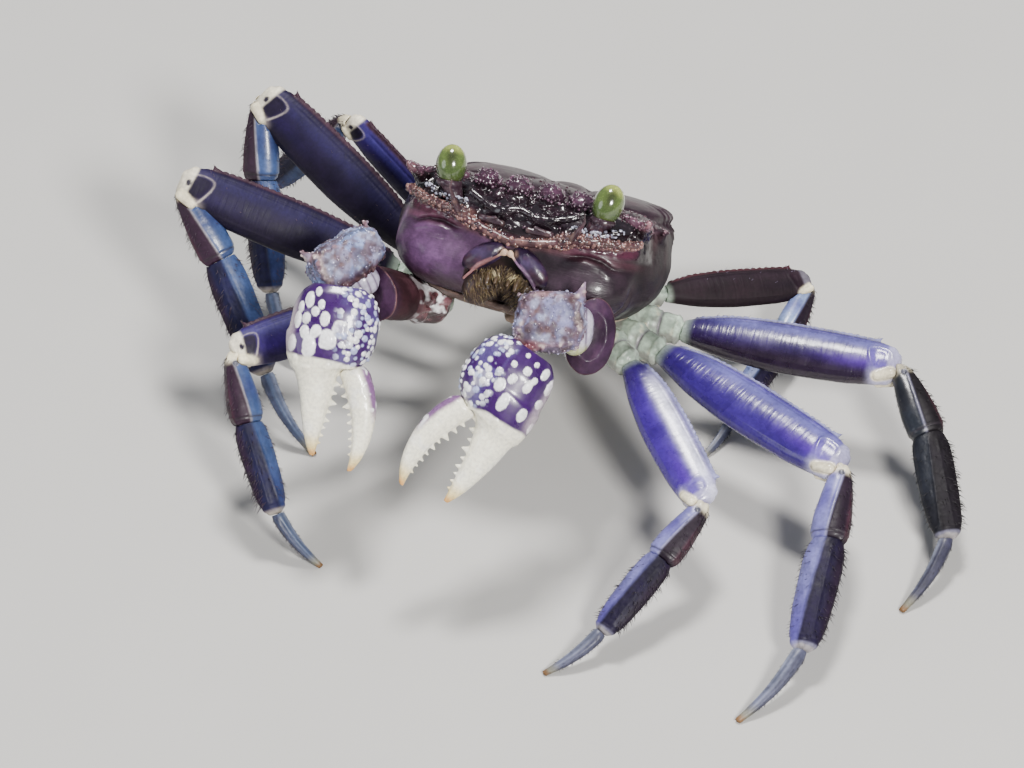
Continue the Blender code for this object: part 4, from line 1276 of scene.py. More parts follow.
def leg_bristles(number, side, limbs, look, material):
    """Rows of bristles along the margins of one leg's segments."""
    random = np.random.default_rng(100 * number + (7 if side == "left" else 3))
    dark = np.array(look["outer"]) * 0.9 + 0.006
    pale = np.array((0.12, 0.075, 0.075)) if side == "right" else np.array((0.16, 0.13, 0.20))
    # Each row's count, middle angle, spread of angles, length, width and colour.
    plans = {
        "merus": ((46, 90.0, 5.0, 0.34, 0.032, pale), (26, 90.0, 60.0, 0.28, 0.026, pale)),
        "carpus": ((70, 90.0, 28.0, 0.62, 0.05, dark), (16, -90.0, 30.0, 0.4, 0.04, dark)),
        "propodus": ((150, 90.0, 32.0, 0.72, 0.05, dark), (90, -90.0, 26.0, 0.5, 0.045, dark)),
        "dactyl": ((90, 90.0, 30.0, 0.26, 0.032, dark), (60, -90.0, 40.0, 0.22, 0.03, dark)),
    }
    gathered = [[] for _ in range(7)]
    for index, (label, limb) in enumerate(limbs):
        for count, middle, spread, length, width, colour in plans.get(label, ()):
            share = random.uniform(0.06, 0.92 if label != "dactyl" else 0.78, count)
            angle = np.radians(middle + random.normal(0.0, spread, count))
            out = np.c_[np.zeros(count), np.cos(angle), np.sin(angle)]
            along = share * limb.length
            low, high = np.zeros(count), np.full(count, limb.height * 1.8)
            centre = np.c_[along, np.zeros(count), limb.bow * limb.length * np.sin(math.pi * share)]
            for _ in range(12):
                middle_reach = (low + high) / 2
                inside = limb.form(centre + out * middle_reach[:, None]) < 0
                low, high = np.where(inside, middle_reach, low), np.where(inside, high, middle_reach)
            roots = centre + out * low[:, None]
            lean = random.uniform(0.3, 0.8, count)[:, None]
            aims = out + np.array((1.0, 0.0, 0.0)) * lean + random.normal(0.0, 0.18, (count, 3))
            aims /= np.linalg.norm(aims, axis=1)[:, None]
            bends = np.tile((0.35, 0.0, 0.0), (count, 1)) + random.normal(0.0, 0.08, (count, 3))
            values = (
                limb.world(roots), aims @ limb.axes, bends @ limb.axes,
                length * random.uniform(0.6, 1.25, count), np.full(count, width),
                np.array(colour)[None] * random.uniform(0.6, 1.5, (count, 1)),
                np.c_[(index + share) / 5.2 + 0.02, (angle / math.tau) % 1.0 * 0.96 + 0.02],
            )
            for store, value in zip(gathered, values):
                store.append(value)
    roots, aims, bends, lengths, widths, colours, unwrap = [np.concatenate(store) for store in gathered]
    keep = roots[:, 2] + np.minimum(aims[:, 2], 0.0) * lengths > 0.25
    name = "bristles_leg%d_%s" % (number, side)
    values = [value[keep] for value in (roots, aims, bends, lengths, widths, colours)]
    add_bristles(name, *values, material, "propodus", unwrap[keep])


# A foot-jaw: centre, radii and tilt of its two plates, the pale ridge of the upper one, and the small palps.
JAW_UPPER = ((2.9, -5.35, -7.3), (2.85, 1.0, 1.3), 38.0)
JAW_LOWER = ((2.9, -4.5, -11.0), (1.9, 1.0, 2.2), -8.0)
JAW_RIDGE = ((0.3, -6.45, -6.2), (1.5, -6.45, -7.3), (3.1, -6.1, -8.5), (4.6, -5.5, -10.4))
PALPS = (
    ((0.75, -5.4, -8.8), (0.75, -5.9, -9.9)), ((1.75, -5.4, -9.1), (1.7, -5.8, -10.3)),
    ((2.75, -5.1, -9.8), (2.6, -5.4, -10.9)),
)
JAW_KNOB = (0.35, -6.45, -6.3)
# The tufts that stand in rows: first and last number, start, run and scatter.
# The other tufts stand on the lower plate.
TUFT_ROWS = (
    (0, 200, (0.2, -5.7, -8.5), (3.2, 0.6, -0.9), 0.24), (200, 330, (0.1, -5.0, -9.6), (1.2, 0.0, -1.8), 0.2),
)
TUFT_COUNT = 640
TUFT_TONES = ((0.085, 0.055, 0.026), (0.15, 0.10, 0.045), (0.045, 0.024, 0.020), (0.24, 0.18, 0.09))
TUFT_SHARES = (0.4, 0.25, 0.25, 0.1)
TUFT_CREAM = (0.62, 0.52, 0.30)


def palp_field(points):
    form = np.full(len(points), FAR)
    for start, end in PALPS:
        form = np.minimum(form, bar(points, start, end, 0.34, 0.26))
    return form - 0.12 * noise(points, 0.5, 52)


def jaw_field(points):
    form = None
    for centre, radii, tilt in (JAW_UPPER, JAW_LOWER):
        turn = np.array(Matrix.Rotation(math.radians(tilt), 3, "Y"))
        part = ball(points, centre, radii, turn)
        form = part if form is None else smooth_min(form, part, 0.25)
    form = smooth_min(form, chain(points, JAW_RIDGE, 0.15), 0.35)
    form = smooth_min(form, ball(points, JAW_KNOB, (0.42, 0.34, 0.42)), 0.3)
    form = np.minimum(form, palp_field(points))
    return roughen(form, points, 0.05, 0.8, 51)


def mouth_tufts(side, sign, material):
    """Brown and olive tufts that fill the opening between the foot-jaws."""
    random = np.random.default_rng(61)
    count = TUFT_COUNT
    turn = np.array(Matrix.Rotation(math.radians(JAW_LOWER[2]), 3, "Y"))
    heading = random.normal(0.0, 1.0, (count, 3)) * (0.8, 0.5, 0.9) + (-0.25, -1.3, 0.35)
    heading /= np.linalg.norm(heading, axis=1)[:, None]
    roots = np.array(JAW_LOWER[0]) + (heading * np.array(JAW_LOWER[1]) * 0.97) @ turn.T
    shares = random.uniform(0.0, 1.0, (TUFT_ROWS[0][1], 1))
    for first, last, start, run, scatter in TUFT_ROWS:
        stray = random.normal(0.0, scatter, (last - first, 3))
        roots[first:last] = np.array(start) + shares[:last - first] * run + stray
    aims = np.array((-0.45, -0.55, -0.9)) + random.normal(0.0, 0.35, (count, 3))
    aims /= np.linalg.norm(aims, axis=1)[:, None]
    bends = np.array((-0.2, 0.25, -0.3)) + random.normal(0.0, 0.15, (count, 3))
    keep = roots[:, 0] > 0.04
    mirror = np.array((sign, 1.0, 1.0))
    picked = random.choice(len(TUFT_TONES), count, p=TUFT_SHARES)
    colours = np.array(TUFT_TONES)[picked] * random.uniform(0.7, 1.3, (count, 1))
    spot = np.linalg.norm(roots - (1.1, -5.6, -8.9), axis=1) < 0.42
    colours = np.where(spot[:, None], TUFT_CREAM, colours)
    unwrap = np.c_[0.5 + roots[:, 0] * sign / 9.0, 0.5 + (roots[:, 2] + 9.5) / 9.0]
    values = (
        from_body(roots * mirror), turned_out(aims * mirror), turned_out(bends * mirror),
        random.uniform(0.45, 1.0, count), random.uniform(0.035, 0.06, count), colours,
    )
    values = [value[keep] for value in values]
    add_bristles("mouth_tufts_" + side, *values, material, "mouth", unwrap[keep])


# Colours of the foot-jaws; the sheen is a painted highlight, and the ridge is painted brighter on the crab's
# right, the side painted as lit.
JAW = {
    "ground": (0.020, 0.009, 0.032), "patch": (0.050, 0.018, 0.030), "sheen": (0.060, 0.038, 0.095),
    "foot": (0.036, 0.020, 0.018), "knob": (0.66, 0.44, 0.30), "palp": (0.075, 0.045, 0.024),
    "palp tip": (0.24, 0.19, 0.07),
}
JAW_RIDGE_TONE = {"left": (0.12, 0.060, 0.12), "right": (0.30, 0.13, 0.13)}


def make_mouth(material, bristle):
    for side, sign in SIDES:
        points, quads = surface(jaw_field, (0.06, -7.2, -13.8), (6.0, -3.2, -4.8), 0.1)
        level = points[:, 2]
        paint = Paint(len(points), JAW["ground"])
        paint.lay(JAW["patch"], smoothstep(-0.1, 0.4, layered(points, 1.2, 55)) * 0.8)
        # Painted highlight: a paler band across the upper plate.
        paint.lay(JAW["sheen"], bell(level + 7.0, 0.6) * 0.5)
        paint.lay(JAW["foot"], smoothstep(-9.0, -10.5, level))
        ridge = smoothstep(0.28, 0.02, chain(points, JAW_RIDGE, 0.14))
        # The ridge's tone is painted light: brighter on the crab's right, the lit side.
        paint.lay(JAW_RIDGE_TONE[side], ridge * 0.9)
        paint.lay(JAW["knob"], smoothstep(0.8, 0.1, ball(points, (0.35, -6.5, -6.3), 0.35)))
        soft = smoothstep(0.2, 0.0, palp_field(points))
        paint.lay(JAW["palp"], soft)
        paint.lay(JAW["palp tip"], soft * smoothstep(0.0, 0.5, noise(points, 0.5, 53)) * 0.7)
        paint.shade(1.0 + 0.2 * layered(points, 0.7, 52))
        place = points * (sign, 1.0, 1.0)
        faces = quads if sign > 0 else quads[:, ::-1]
        marks = skin_marks(place, paint, 0.40)
        name = "foot_jaw_" + side
        add_piece(name, from_body(place), faces, marks, material, "mouth", ["maxilliped_" + side])
        mouth_tufts(side, sign, bristle)


# Limbs.

class Limb:
    """One segment: an origin, its axes (along, thick, up), its length, half height and profile."""

    def __init__(self, origin, axes, length, height, profile, bow=0.0, dress=None):
        self.origin = np.array(origin, float)
        self.axes = np.array([list(axis) for axis in axes], float)
        self.length = length
        self.height = height
        self.thick, self.rise, self.fall = curves(profile)
        self.last = profile[-1][0]
        self.bow = bow
        self.dress = dress

    def local(self, points):
        return (points - self.origin) @ self.axes.T

    def world(self, points):
        return points @ self.axes + self.origin

    def level(self, points):
        s, t, w = points.T
        share = s / self.length
        w = w - self.bow * self.length * np.sin(math.pi * np.clip(share, 0.0, 1.0))
        half = np.maximum(self.thick(share) * self.height, 0.05)
        tall = np.maximum(np.where(w >= 0, self.rise(share), self.fall(share)) * self.height, 0.05)
        pointed = np.where(w >= 0, 1.8, 2.3)
        return ((np.abs(t) / half) ** 2.1 + (np.abs(w) / tall) ** pointed) ** 0.5 - 1.0

    def form(self, points):
        """The field in the limb's own coordinates."""
        side = in_millimetres(self.level, points)
        ahead = points[:, 0] - (self.length * self.last + END_ROUNDING * self.height)
        behind = -0.12 * self.height - points[:, 0]
        field = -smooth_min(-side, -np.maximum(ahead, behind), 0.3 * self.height)
        return self.dress(self, points, field) if self.dress else field

    def field(self, points):
        return self.form(self.local(points))


def dress_hip(limb, points, field):
    s = points[:, 0]
    length = limb.length
    field = field - 0.22 * bell(s - 0.42 * length, 0.45) + 0.16 * bell(s - 0.62 * length, 0.16)
    field = field - 0.18 * bell(s - 0.93 * length, 0.3)
    for sign in (1.0, -1.0):
        knob = ball(points, (0.95 * length, sign * 0.42 * limb.height, 0.1), 0.2 * limb.height)
        field = smooth_min(field, knob, 0.2)
    return roughen(field, points, 0.07, 0.9, 61)


def window_ring(limb, points):
    """Distance in radii from the middle of the oval window on each side of an upper leg's far end."""
    reach = max(0.055 * limb.length, 1.1)
    middle = limb.length - reach - 0.35
    slanted = points[:, 0] - middle + 0.35 * (points[:, 2] - 0.15 * limb.height)
    across = (points[:, 2] - 0.14 * limb.height) / (0.52 * limb.height)
    narrow = 1.0 + 0.35 * np.clip(across, -1.0, 1.0)
    return (np.abs(slanted / reach) ** 2.6 + np.abs(across * narrow) ** 2.6) ** (1 / 2.6)


def knee_knob(limb, points, sign):
    """One of the two pale knobs below the far end of an upper leg."""
    length, height = limb.length, limb.height
    start = (0.93 * length, sign * 0.30 * height, -0.62 * height)
    end = (0.99 * length, sign * 0.36 * height, -0.42 * height)
    return bar(points, start, end, 0.15 * height, 0.19 * height)


def dress_merus(limb, points, field):
    """Saw-edged crest with its tooth, a groove below it, a lower line, windows and knobs."""
    s, t, w = points.T
    length, height = limb.length, limb.height
    share = s / length
    crest = limb.rise(share) * height
    saw = 0.16 * np.abs(np.sin(math.pi * s / 0.85)) ** 0.7
    fin = np.maximum(np.maximum(np.abs(t) - 0.2, w - crest - 0.16 - saw), crest * 0.6 - w)
    fin = np.maximum(fin, np.maximum(0.05 * length - s, s - 0.9 * length))
    field = smooth_min(field, fin, 0.28)
    tip_height = limb.rise(0.9) * height
    start = (0.865 * length, 0.0, tip_height - 0.3)
    end = (0.905 * length, 0.0, tip_height + 0.62)
    field = smooth_min(field, bar(points, start, end, 0.42, 0.07), 0.25)
    notch = (0.955 * length, 0.0, limb.rise(0.96) * height + 0.55)
    field = carve(field, ball(points, notch, (0.75, 3.0, 0.62)), 0.3)
    groove = bell(w - 0.74 * crest, 0.13) * smoothstep(0.1, 0.2, share) * smoothstep(0.88, 0.82, share)
    field = field + 0.09 * groove
    low = bell(w + 0.72 * limb.fall(share) * height, 0.16)
    low = low * smoothstep(0.1, 0.2, share) * smoothstep(0.85, 0.75, share)
    field = field - 0.06 * low
    ring = window_ring(limb, points)
    field = field - 0.07 * bell(ring - 1.0, 0.10) + 0.13 * smoothstep(0.95, 0.45, ring)
    for sign in (1.0, -1.0):
        field = smooth_min(field, knee_knob(limb, points, sign), 0.2)
    return roughen(field, points, 0.02, 1.6, 62)


# Heights, at both ends, of the line that parts the pale lower face from the dark upper one.
CARPUS_KEEL = (0.45, -0.05)
PROPODUS_KEEL = (-0.02, -0.30)


def keel_height(limb, points, ends):
    start, end = ends
    share = points[:, 0] / limb.length
    return limb.height * (start + (end - start) * share)


def knee_pit(limb, points, sign, size):
    """The small pit on each side of the knee block's near end."""
    half = limb.thick(0.1) * limb.height
    return ball(points, (1.35, sign * half * 1.05, 0.26 * limb.height), size * limb.height)


def dress_carpus(limb, points, field):
    s, t, w = points.T
    share = s / limb.length
    height = limb.height
    edge = keel_height(limb, points, CARPUS_KEEL)
    field = field - 0.11 * bell(w - edge, 0.17) * smoothstep(0.05, 0.2, share) * smoothstep(0.98, 0.9, share)
    keel = bell(np.abs(t) - 0.42 * limb.thick(share) * height, 0.16) * smoothstep(0.35, 0.7, w / height)
    field = field - 0.12 * keel
    half = limb.thick(0.1) * height
    for sign in (1.0, -1.0):
        knob = ball(points, (0.45, sign * half * 0.72, 0.06 * height), 0.22 * height)
        field = smooth_min(field, knob, 0.15)
        field = carve(field, knee_pit(limb, points, sign, 0.15), 0.1)
    field = field + 0.08 * bell(s - 0.95 * limb.length, 0.12)
    return roughen(field, points, 0.02, 1.2, 63)


def dress_propodus(limb, points, field):
    s, t, w = points.T
    share = s / limb.length
    height = limb.height
    edge = keel_height(limb, points, PROPODUS_KEEL)
    inner = smoothstep(0.04, 0.15, share) * smoothstep(0.95, 0.85, share)
    field = field - 0.09 * bell(w - edge, 0.16) * inner
    field = field - 0.07 * bell(w - 0.42 * height, 0.18) * inner
    flank = 0.10 * bell(np.abs(t) - 0.22 * limb.thick(share) * height, 0.14)
    field = field - flank * smoothstep(0.3, 0.7, np.abs(w) / height) * inner
    field = field + 0.07 * bell(s - 0.93 * limb.length, 0.12)
    for sign in (1.0, -1.0):
        knob = ball(points, (0.985 * limb.length, sign * 0.26 * height, 0.0), 0.2 * height)
        field = smooth_min(field, knob, 0.12)
    return roughen(field, points, 0.02, 1.0, 64)


def dress_dactyl(limb, points, field):
    s, t, w = points.T
    share = np.clip(s / limb.length, 0.0, 1.0)
    bent = w - limb.bow * limb.length * np.sin(math.pi * share)
    around = np.arctan2(bent, t)
    strength = smoothstep(0.05, 0.2, share) * smoothstep(0.92, 0.75, share)
    return field - 0.032 * np.cos(6.0 * around) * strength


# Colours that all legs share.
LEG = {
    "hip patch": (0.16, 0.14, 0.13), "hip line": (0.09, 0.05, 0.10), "socket": (0.020, 0.016, 0.030),
    "pit": (0.10, 0.10, 0.13), "end line": (0.02, 0.015, 0.02), "toe belly": (0.30, 0.33, 0.42),
    "toe end": (0.20, 0.19, 0.13), "toe tip": (0.20, 0.095, 0.030),
}


def paint_hip(limb, points):
    paint = Paint(len(points), SEA_GREEN)
    paint.lay(LEG["hip patch"], smoothstep(-0.05, 0.45, layered(points, 1.5, 71)) * 0.75)
    paint.lay(CREAM, smoothstep(0.25, 0.6, layered(points, 1.1, 72)) * 0.7)
    paint.lay(LEG["hip line"], bell(points[:, 0] - 0.62 * limb.length, 0.25) * 0.7)
    return paint, 0.4


def paint_merus(limb, points, look):
    s, _, w = points.T
    length, height = limb.length, limb.height
    share = s / length
    level = w / height
    crest = limb.rise(share) * height
    paint = Paint(len(points), look["face"])
    # Painted shade: the lower side is darker, by low_dark; the near end is darker too.
    paint.lay(look["deep"], smoothstep(0.25, -0.65, level) * look["low_dark"])
    paint.lay(look["deep"], smoothstep(0.3, 0.0, share) * 0.4)
    paint.lay(look["bright"], bell(level + 0.15, 0.3) * smoothstep(0.55, 0.85, share) * 0.5)
    # Painted highlight: a pale sheen band along the upper side.
    sheen = bell(level - 0.55, look["sheen_width"]) * smoothstep(0.06, 0.3, share)
    paint.lay(look["sheen"], sheen * look["sheen_share"])
    top = smoothstep(crest - 0.25, crest + 0.02, w) * smoothstep(0.04, 0.1, share)
    paint.lay(look["crest"], top * smoothstep(0.93, 0.9, share))
    paint.lay(SEA_GREEN, smoothstep(0.07, 0.0, share) * 0.7)
    # The window at the far end, the pale edge at its end and the dark socket there.
    ring = window_ring(limb, points)
    around = smoothstep(1.9, 1.2, ring) * smoothstep(0.86, 0.9, share)
    paint.lay(look["plate"], around * 0.4)
    paint.lay(look["window"], smoothstep(1.0, 0.7, ring) * look["pane"])
    edge_tone = look["line"] * (0.35 + 0.65 * smoothstep(0.4, -0.4, level))
    paint.lay(look["rim"], bell(ring - 1.03, 0.075) * edge_tone)
    paint.lay(look["rim"], smoothstep(0.86, 0.95, share) * smoothstep(-0.25, -0.62, level) * 0.9)
    cap = smoothstep(length - 1.15, length - 0.75, s + 0.12 * w) * look["cap"]
    paint.lay(look["cap_tone"], cap)
    socket = np.hypot((s - length + 0.62) / 0.34, (w - 0.12 * height) / 0.42)
    paint.lay(LEG["socket"], smoothstep(1.1, 0.75, socket) * smoothstep(0.5, 0.9, look["cap"]))
    for sign in (1.0, -1.0):
        paint.lay(CREAM, smoothstep(0.4, 0.05, knee_knob(limb, points, sign)))
    # Painted highlight: pale streaks of sheen on the upper half.
    streaks = noise(points * (1.0, 1.0, 0.18), 0.42, 73)
    paint.lay(look["sheen"], smoothstep(0.35, 0.8, streaks) * smoothstep(0.0, 0.5, level) * 0.2)
    return paint, look["rough"]


def paint_carpus(limb, points, look):
    s, _, w = points.T
    share = s / limb.length
    edge = keel_height(limb, points, CARPUS_KEEL)
    paint = Paint(len(points), look["outer"])
    lower = smoothstep(0.22, -0.22, w - edge)
    paint.lay(look["inner"], lower)
    paint.lay(look["inner_deep"], lower * smoothstep(0.0, 0.7, layered(points, 2.4, 74)) * 0.5)
    paint.lay(look["inner_deep"], lower * bell(share - 0.55, 0.16) * 0.5)
    paint.lay(look["rim"], bell(w - edge, 0.14) * 0.3)
    paint.lay(CREAM, smoothstep(0.20, 0.08, share) * look["cream"])
    for sign in (1.0, -1.0):
        paint.lay(LEG["pit"], smoothstep(0.12, -0.02, knee_pit(limb, points, sign, 0.17)))
    paint.lay(LEG["end line"], bell(s - 0.955 * limb.length, 0.13) * 0.8)
    paint.lay(MAROON, smoothstep(0.8, 1.0, w / limb.height) * 0.3)
    return paint, 0.50 - 0.14 * lower


def paint_propodus(limb, points, look):
    s, _, w = points.T
    share = s / limb.length
    edge = keel_height(limb, points, PROPODUS_KEEL)
    paint = Paint(len(points), look["shaft"])
    lower = smoothstep(0.3, -0.3, w - edge)
    paint.lay(look["inner"], lower * 0.8)
    paint.lay(look["inner_deep"], lower * smoothstep(0.35, 0.9, share) * 0.7)
    patches = smoothstep(0.0, 0.6, layered(points * (0.5, 1.0, 1.0), 1.5, 75))
    paint.lay(look["shaft_deep"], patches * (1 - lower) * 0.6)
    paint.lay(look["outer"], smoothstep(0.55, 0.95, w / limb.height) * 0.8)
    paint.lay(look["rim"], smoothstep(0.955, 0.98, share) * 0.25)
    paint.lay(CREAM, smoothstep(0.98, 1.0, share) * 0.2)
    return paint, 0.58 - 0.12 * lower


def paint_dactyl(limb, points, look):
    s, t, w = points.T
    share = s / limb.length
    bent = w - limb.bow * limb.length * np.sin(math.pi * np.clip(share, 0.0, 1.0))
    around = np.arctan2(bent, t)
    paint = Paint(len(points), look["claw"])
    paint.lay(look["claw_dark"], smoothstep(0.1, 0.6, bent / limb.height) * 0.6)
    # Painted shade: the grooves between the ridges are darker.
    paint.lay(look["claw_dark"], smoothstep(0.2, -0.8, np.cos(6.0 * around)) * 0.35)
    paint.lay(LEG["toe belly"], smoothstep(-0.2, -0.7, bent / limb.height) * 0.4)
    paint.lay(LEG["toe end"], smoothstep(0.72, 0.90, share) * 0.8)
    paint.lay(LEG["toe tip"], smoothstep(0.88, 0.96, share) * 0.9)
    return paint, 0.44


# The sheen colours are painted highlights, and low_dark is the share of painted shade on the lower side of
# the upper leg.
LEG_BASE = {
    "face": (0.034, 0.012, 0.185), "deep": (0.013, 0.007, 0.036), "bright": (0.085, 0.016, 0.34),
    "sheen": (0.17, 0.17, 0.46), "sheen_width": 0.28, "sheen_share": 0.6, "low_dark": 0.5, "rough": 0.27,
    "crest": (0.24, 0.24, 0.44), "rim": (0.52, 0.50, 0.70), "plate": (0.24, 0.21, 0.52),
    "window": (0.085, 0.045, 0.33), "line": 0.0, "pane": 0.5, "cap": 0.45, "cap_tone": (0.62, 0.60, 0.74),
    "outer": (0.013, 0.006, 0.014), "inner": (0.17, 0.165, 0.42), "inner_deep": (0.050, 0.030, 0.22),
    "cream": 0.9, "shaft": (0.008, 0.0045, 0.022), "shaft_deep": (0.004, 0.002, 0.008),
    "claw": (0.115, 0.125, 0.19), "claw_dark": (0.032, 0.030, 0.060),
}
# What differs on the legs of the crab's right, and then on single legs. The darker colours of the crab's
# right legs are painted shade; their pale rims and caps are their own.
RIGHT_LOOK = {
    "face": (0.0080, 0.0042, 0.021), "deep": (0.007, 0.0035, 0.010), "bright": (0.014, 0.006, 0.055),
    "sheen": (0.014, 0.009, 0.060), "crest": (0.036, 0.014, 0.026), "rim": (0.62, 0.54, 0.48),
    "plate": (0.024, 0.016, 0.060), "window": (0.008, 0.004, 0.018), "line": 0.85, "pane": 1.0, "cap": 0.95,
    "cap_tone": (0.74, 0.68, 0.54), "outer": (0.024, 0.009, 0.022), "inner": (0.042, 0.074, 0.185),
    "inner_deep": (0.017, 0.020, 0.090), "cream": 1.0, "shaft": (0.009, 0.008, 0.038),
    "shaft_deep": (0.005, 0.004, 0.015), "claw": (0.070, 0.095, 0.17), "rough": 0.54,
}
# Less painted shade on the first and last legs of the crab's right.
RIGHT_BLUE = {"face": (0.022, 0.010, 0.085), "bright": (0.035, 0.012, 0.16), "sheen": (0.045, 0.035, 0.19)}
LEG_LOOKS = {
    ("left", 1): {
        "low_dark": 0.2, "face": (0.048, 0.016, 0.24), "sheen": (0.74, 0.74, 0.92), "sheen_width": 0.30,
        "sheen_share": 0.95,
    },
    ("left", 2): {"low_dark": 0.3},
    ("left", 3): {
        "face": (0.026, 0.010, 0.115), "deep": (0.013, 0.006, 0.012), "low_dark": 0.95,
        "outer": (0.006, 0.004, 0.006), "inner": (0.014, 0.017, 0.025), "inner_deep": (0.007, 0.006, 0.009),
        "shaft": (0.007, 0.005, 0.008), "shaft_deep": (0.004, 0.003, 0.004), "claw": (0.036, 0.036, 0.060),
        "cream": 0.5,
    },
    # The last leg on the left: its upper leg is painted dark as painted shade; the pale blue of its lower
    # faces is its own.
    ("left", 4): {
        "face": (0.013, 0.006, 0.010), "deep": (0.009, 0.004, 0.006), "bright": (0.011, 0.006, 0.013),
        "sheen": (0.018, 0.009, 0.016), "crest": (0.050, 0.016, 0.022), "plate": (0.030, 0.014, 0.022),
        "window": (0.014, 0.006, 0.012), "rim": (0.06, 0.03, 0.05), "cream": 0.2,
        "inner": (0.22, 0.30, 0.52), "rough": 0.58, "cap": 0.15,
    },
    ("right", 1): RIGHT_BLUE,
    ("right", 4): RIGHT_BLUE,
}


def leg_look(side, number):
    look = dict(LEG_BASE)
    if side == "right":
        look.update(RIGHT_LOOK)
    look.update(LEG_LOOKS.get((side, number), {}))
    return look


def leg_joints(side, number, lift):
    """World positions of hip, merus base, knee, wrist, ankle and toe, with a frame for each segment."""
    azimuth, _, twist, knee, wrist, ankle = POSE[(side, number)]
    sign = 1.0 if side == "left" else -1.0
    hip = Vector(HIPS[number])
    hip.x *= sign
    turn = math.radians(azimuth)
    out = Vector((math.cos(turn) * sign, math.sin(turn), 0.0))
    up = Vector((0.0, 0.0, 1.0))
    angle = math.radians(lift)
    first = out * math.cos(angle) + up * math.sin(angle)
    stub = out * math.cos(angle / 2) + up * math.sin(angle / 2)
    axis = Matrix.Rotation(math.radians(twist) * sign, 3, first) @ up.cross(out)
    points = [hip, hip + stub * HIP_LENGTH[number]]
    frames = [(stub, up.cross(out) * sign, stub.cross(up.cross(out)))]
    total = 0.0
    for bend, length in zip((0.0, knee, wrist, ankle), LENGTHS[number]):
        total += bend
        along = Matrix.Rotation(math.radians(total), 3, axis) @ first
        points.append(points[-1] + along * length)
        frames.append((along, axis * sign, along.cross(axis)))
    body = body_matrix()
    turn_only = body.to_3x3()
    frames = [tuple(turn_only @ part for part in frame) for frame in frames]
    return [body @ point for point in points], frames


def toe_level(side, number, lift):
    """Height of the lowest point of the last segment's twelve-sided rings."""
    points, frames = leg_joints(side, number, lift)
    along, thick, up = frames[4]
    length, scale = LENGTHS[number][3], HEIGHTS[number][3]
    lowest = 1e9
    for share, half, rise, fall in DACTYL:
        middle = points[4] + along * share * length + up * (DACTYL_BOW * length * math.sin(math.pi * share))
        for k in range(12):
            turn = math.tau * k / 12
            height = (rise if math.sin(turn) >= 0 else fall) * scale
            across = math.copysign(abs(math.cos(turn)) ** 0.9, math.cos(turn)) * half * scale
            above = math.copysign(abs(math.sin(turn)) ** 0.9, math.sin(turn)) * height
            lowest = min(lowest, (middle + thick * across + up * above).z)
    last = DACTYL[-1][0]
    bow = DACTYL_BOW * length * math.sin(math.pi * last)
    tip = points[4] + along * (length * last + END_ROUNDING * scale) + up * bow
    return min(lowest, tip.z)


def settled_lift(side, number):
    """Find the lift of the upper leg that puts the toe at floor level."""
    low = POSE[(side, number)][1] - 1.0
    high = low + 2.0
    for _ in range(40):
        middle = (low + high) / 2
        if toe_level(side, number, middle) > -TOE_FLAT_DEPTH:
            high = middle
        else:
            low = middle
    return (low + high) / 2


DRESSES = {"merus": dress_merus, "carpus": dress_carpus, "propodus": dress_propodus, "dactyl": dress_dactyl}
PAINTS = {"merus": paint_merus, "carpus": paint_carpus, "propodus": paint_propodus, "dactyl": paint_dactyl}
SEGMENT_STEP = {"hip": 0.16, "merus": 0.16, "carpus": 0.14, "propodus": 0.14, "dactyl": 0.09}


def make_leg(side, number, materials):
    joints, frames = leg_joints(side, number, settled_lift(side, number))
    hip_length = (joints[1] - joints[0]).length
    hip_height = min(HEIGHTS[number][0], HIP_HALF_HEIGHT)
    limbs = [("hip", Limb(joints[0], frames[0], hip_length, hip_height, HIP, dress=dress_hip))]
    for index, (label, profile) in enumerate(SEGMENTS):
        bow = DACTYL_BOW if label == "dactyl" else 0.0
        size = (LENGTHS[number][index], HEIGHTS[number][index])
        limb = Limb(joints[index + 1], frames[index + 1], *size, profile, bow, DRESSES[label])
        limbs.append((label, limb))
    look = leg_look(side, number)
    earlier = None
    for label, limb in limbs:

        def field(points, limb=limb, earlier=earlier, label=label):
            """The segment's form, cut clear of the body, of the segment before it and of the floor."""
            form = limb.form(points)
            near = (points[:, 0] < 1.3 * limb.height + 1.0) & (form < 2.0)
            if earlier is None or (label == "merus" and number == 4):
                near = near | (form < 2.0)
                form[near] = np.maximum(form[near], GAP - bare_body(to_body(limb.world(points[near]))))
            if earlier is not None:
                form[near] = np.maximum(form[near], GAP - earlier.field(limb.world(points[near])))
            return np.maximum(form, -limb.world(points)[:, 2])

        reach = limb.height * 1.35 + abs(limb.bow) * limb.length
        low = (-0.4 * limb.height, -limb.height * 1.1, -reach)
        high = (limb.length + 0.4 * limb.height, limb.height * 1.1, reach)
        step = SEGMENT_STEP[label] * 1.0
        points, quads = surface(field, low, high, step)
        paint, rough = paint_hip(limb, points) if label == "hip" else PAINTS[label](limb, points, look)
        paint.shade(1.0 + 0.12 * layered(points, 2.0, 81 + number))
        marks = skin_marks(points, paint, rough)
        name = "leg%d_%s_%s" % (number, side, label)
        add_piece("skin_" + name, limb.world(points), quads, marks, materials[label], label, [name])
        earlier = limb
    leg_bristles(number, side, limbs, look, materials["bristle"])


# Claws.

def square_axes(along, up):
    """Unit axes along, up and across from a direction and one that is nearly square to it."""
    along = np.array(along, float)
    along /= np.linalg.norm(along)
    up = np.array(up, float)
    up -= along * (up @ along)
    up /= np.linalg.norm(up)
    return np.array((along, up, np.cross(along, up)))


def hand_axes(side):
    data = CLAWS[side]
    return np.array(data["wrist"], float), square_axes(data["along"], data["up"])


PALM_CURVES = curves(PALM)
FIXED_CURVES = curves(FIXED_FINGER)
MOVABLE_CURVES = curves(MOVABLE_FINGER)


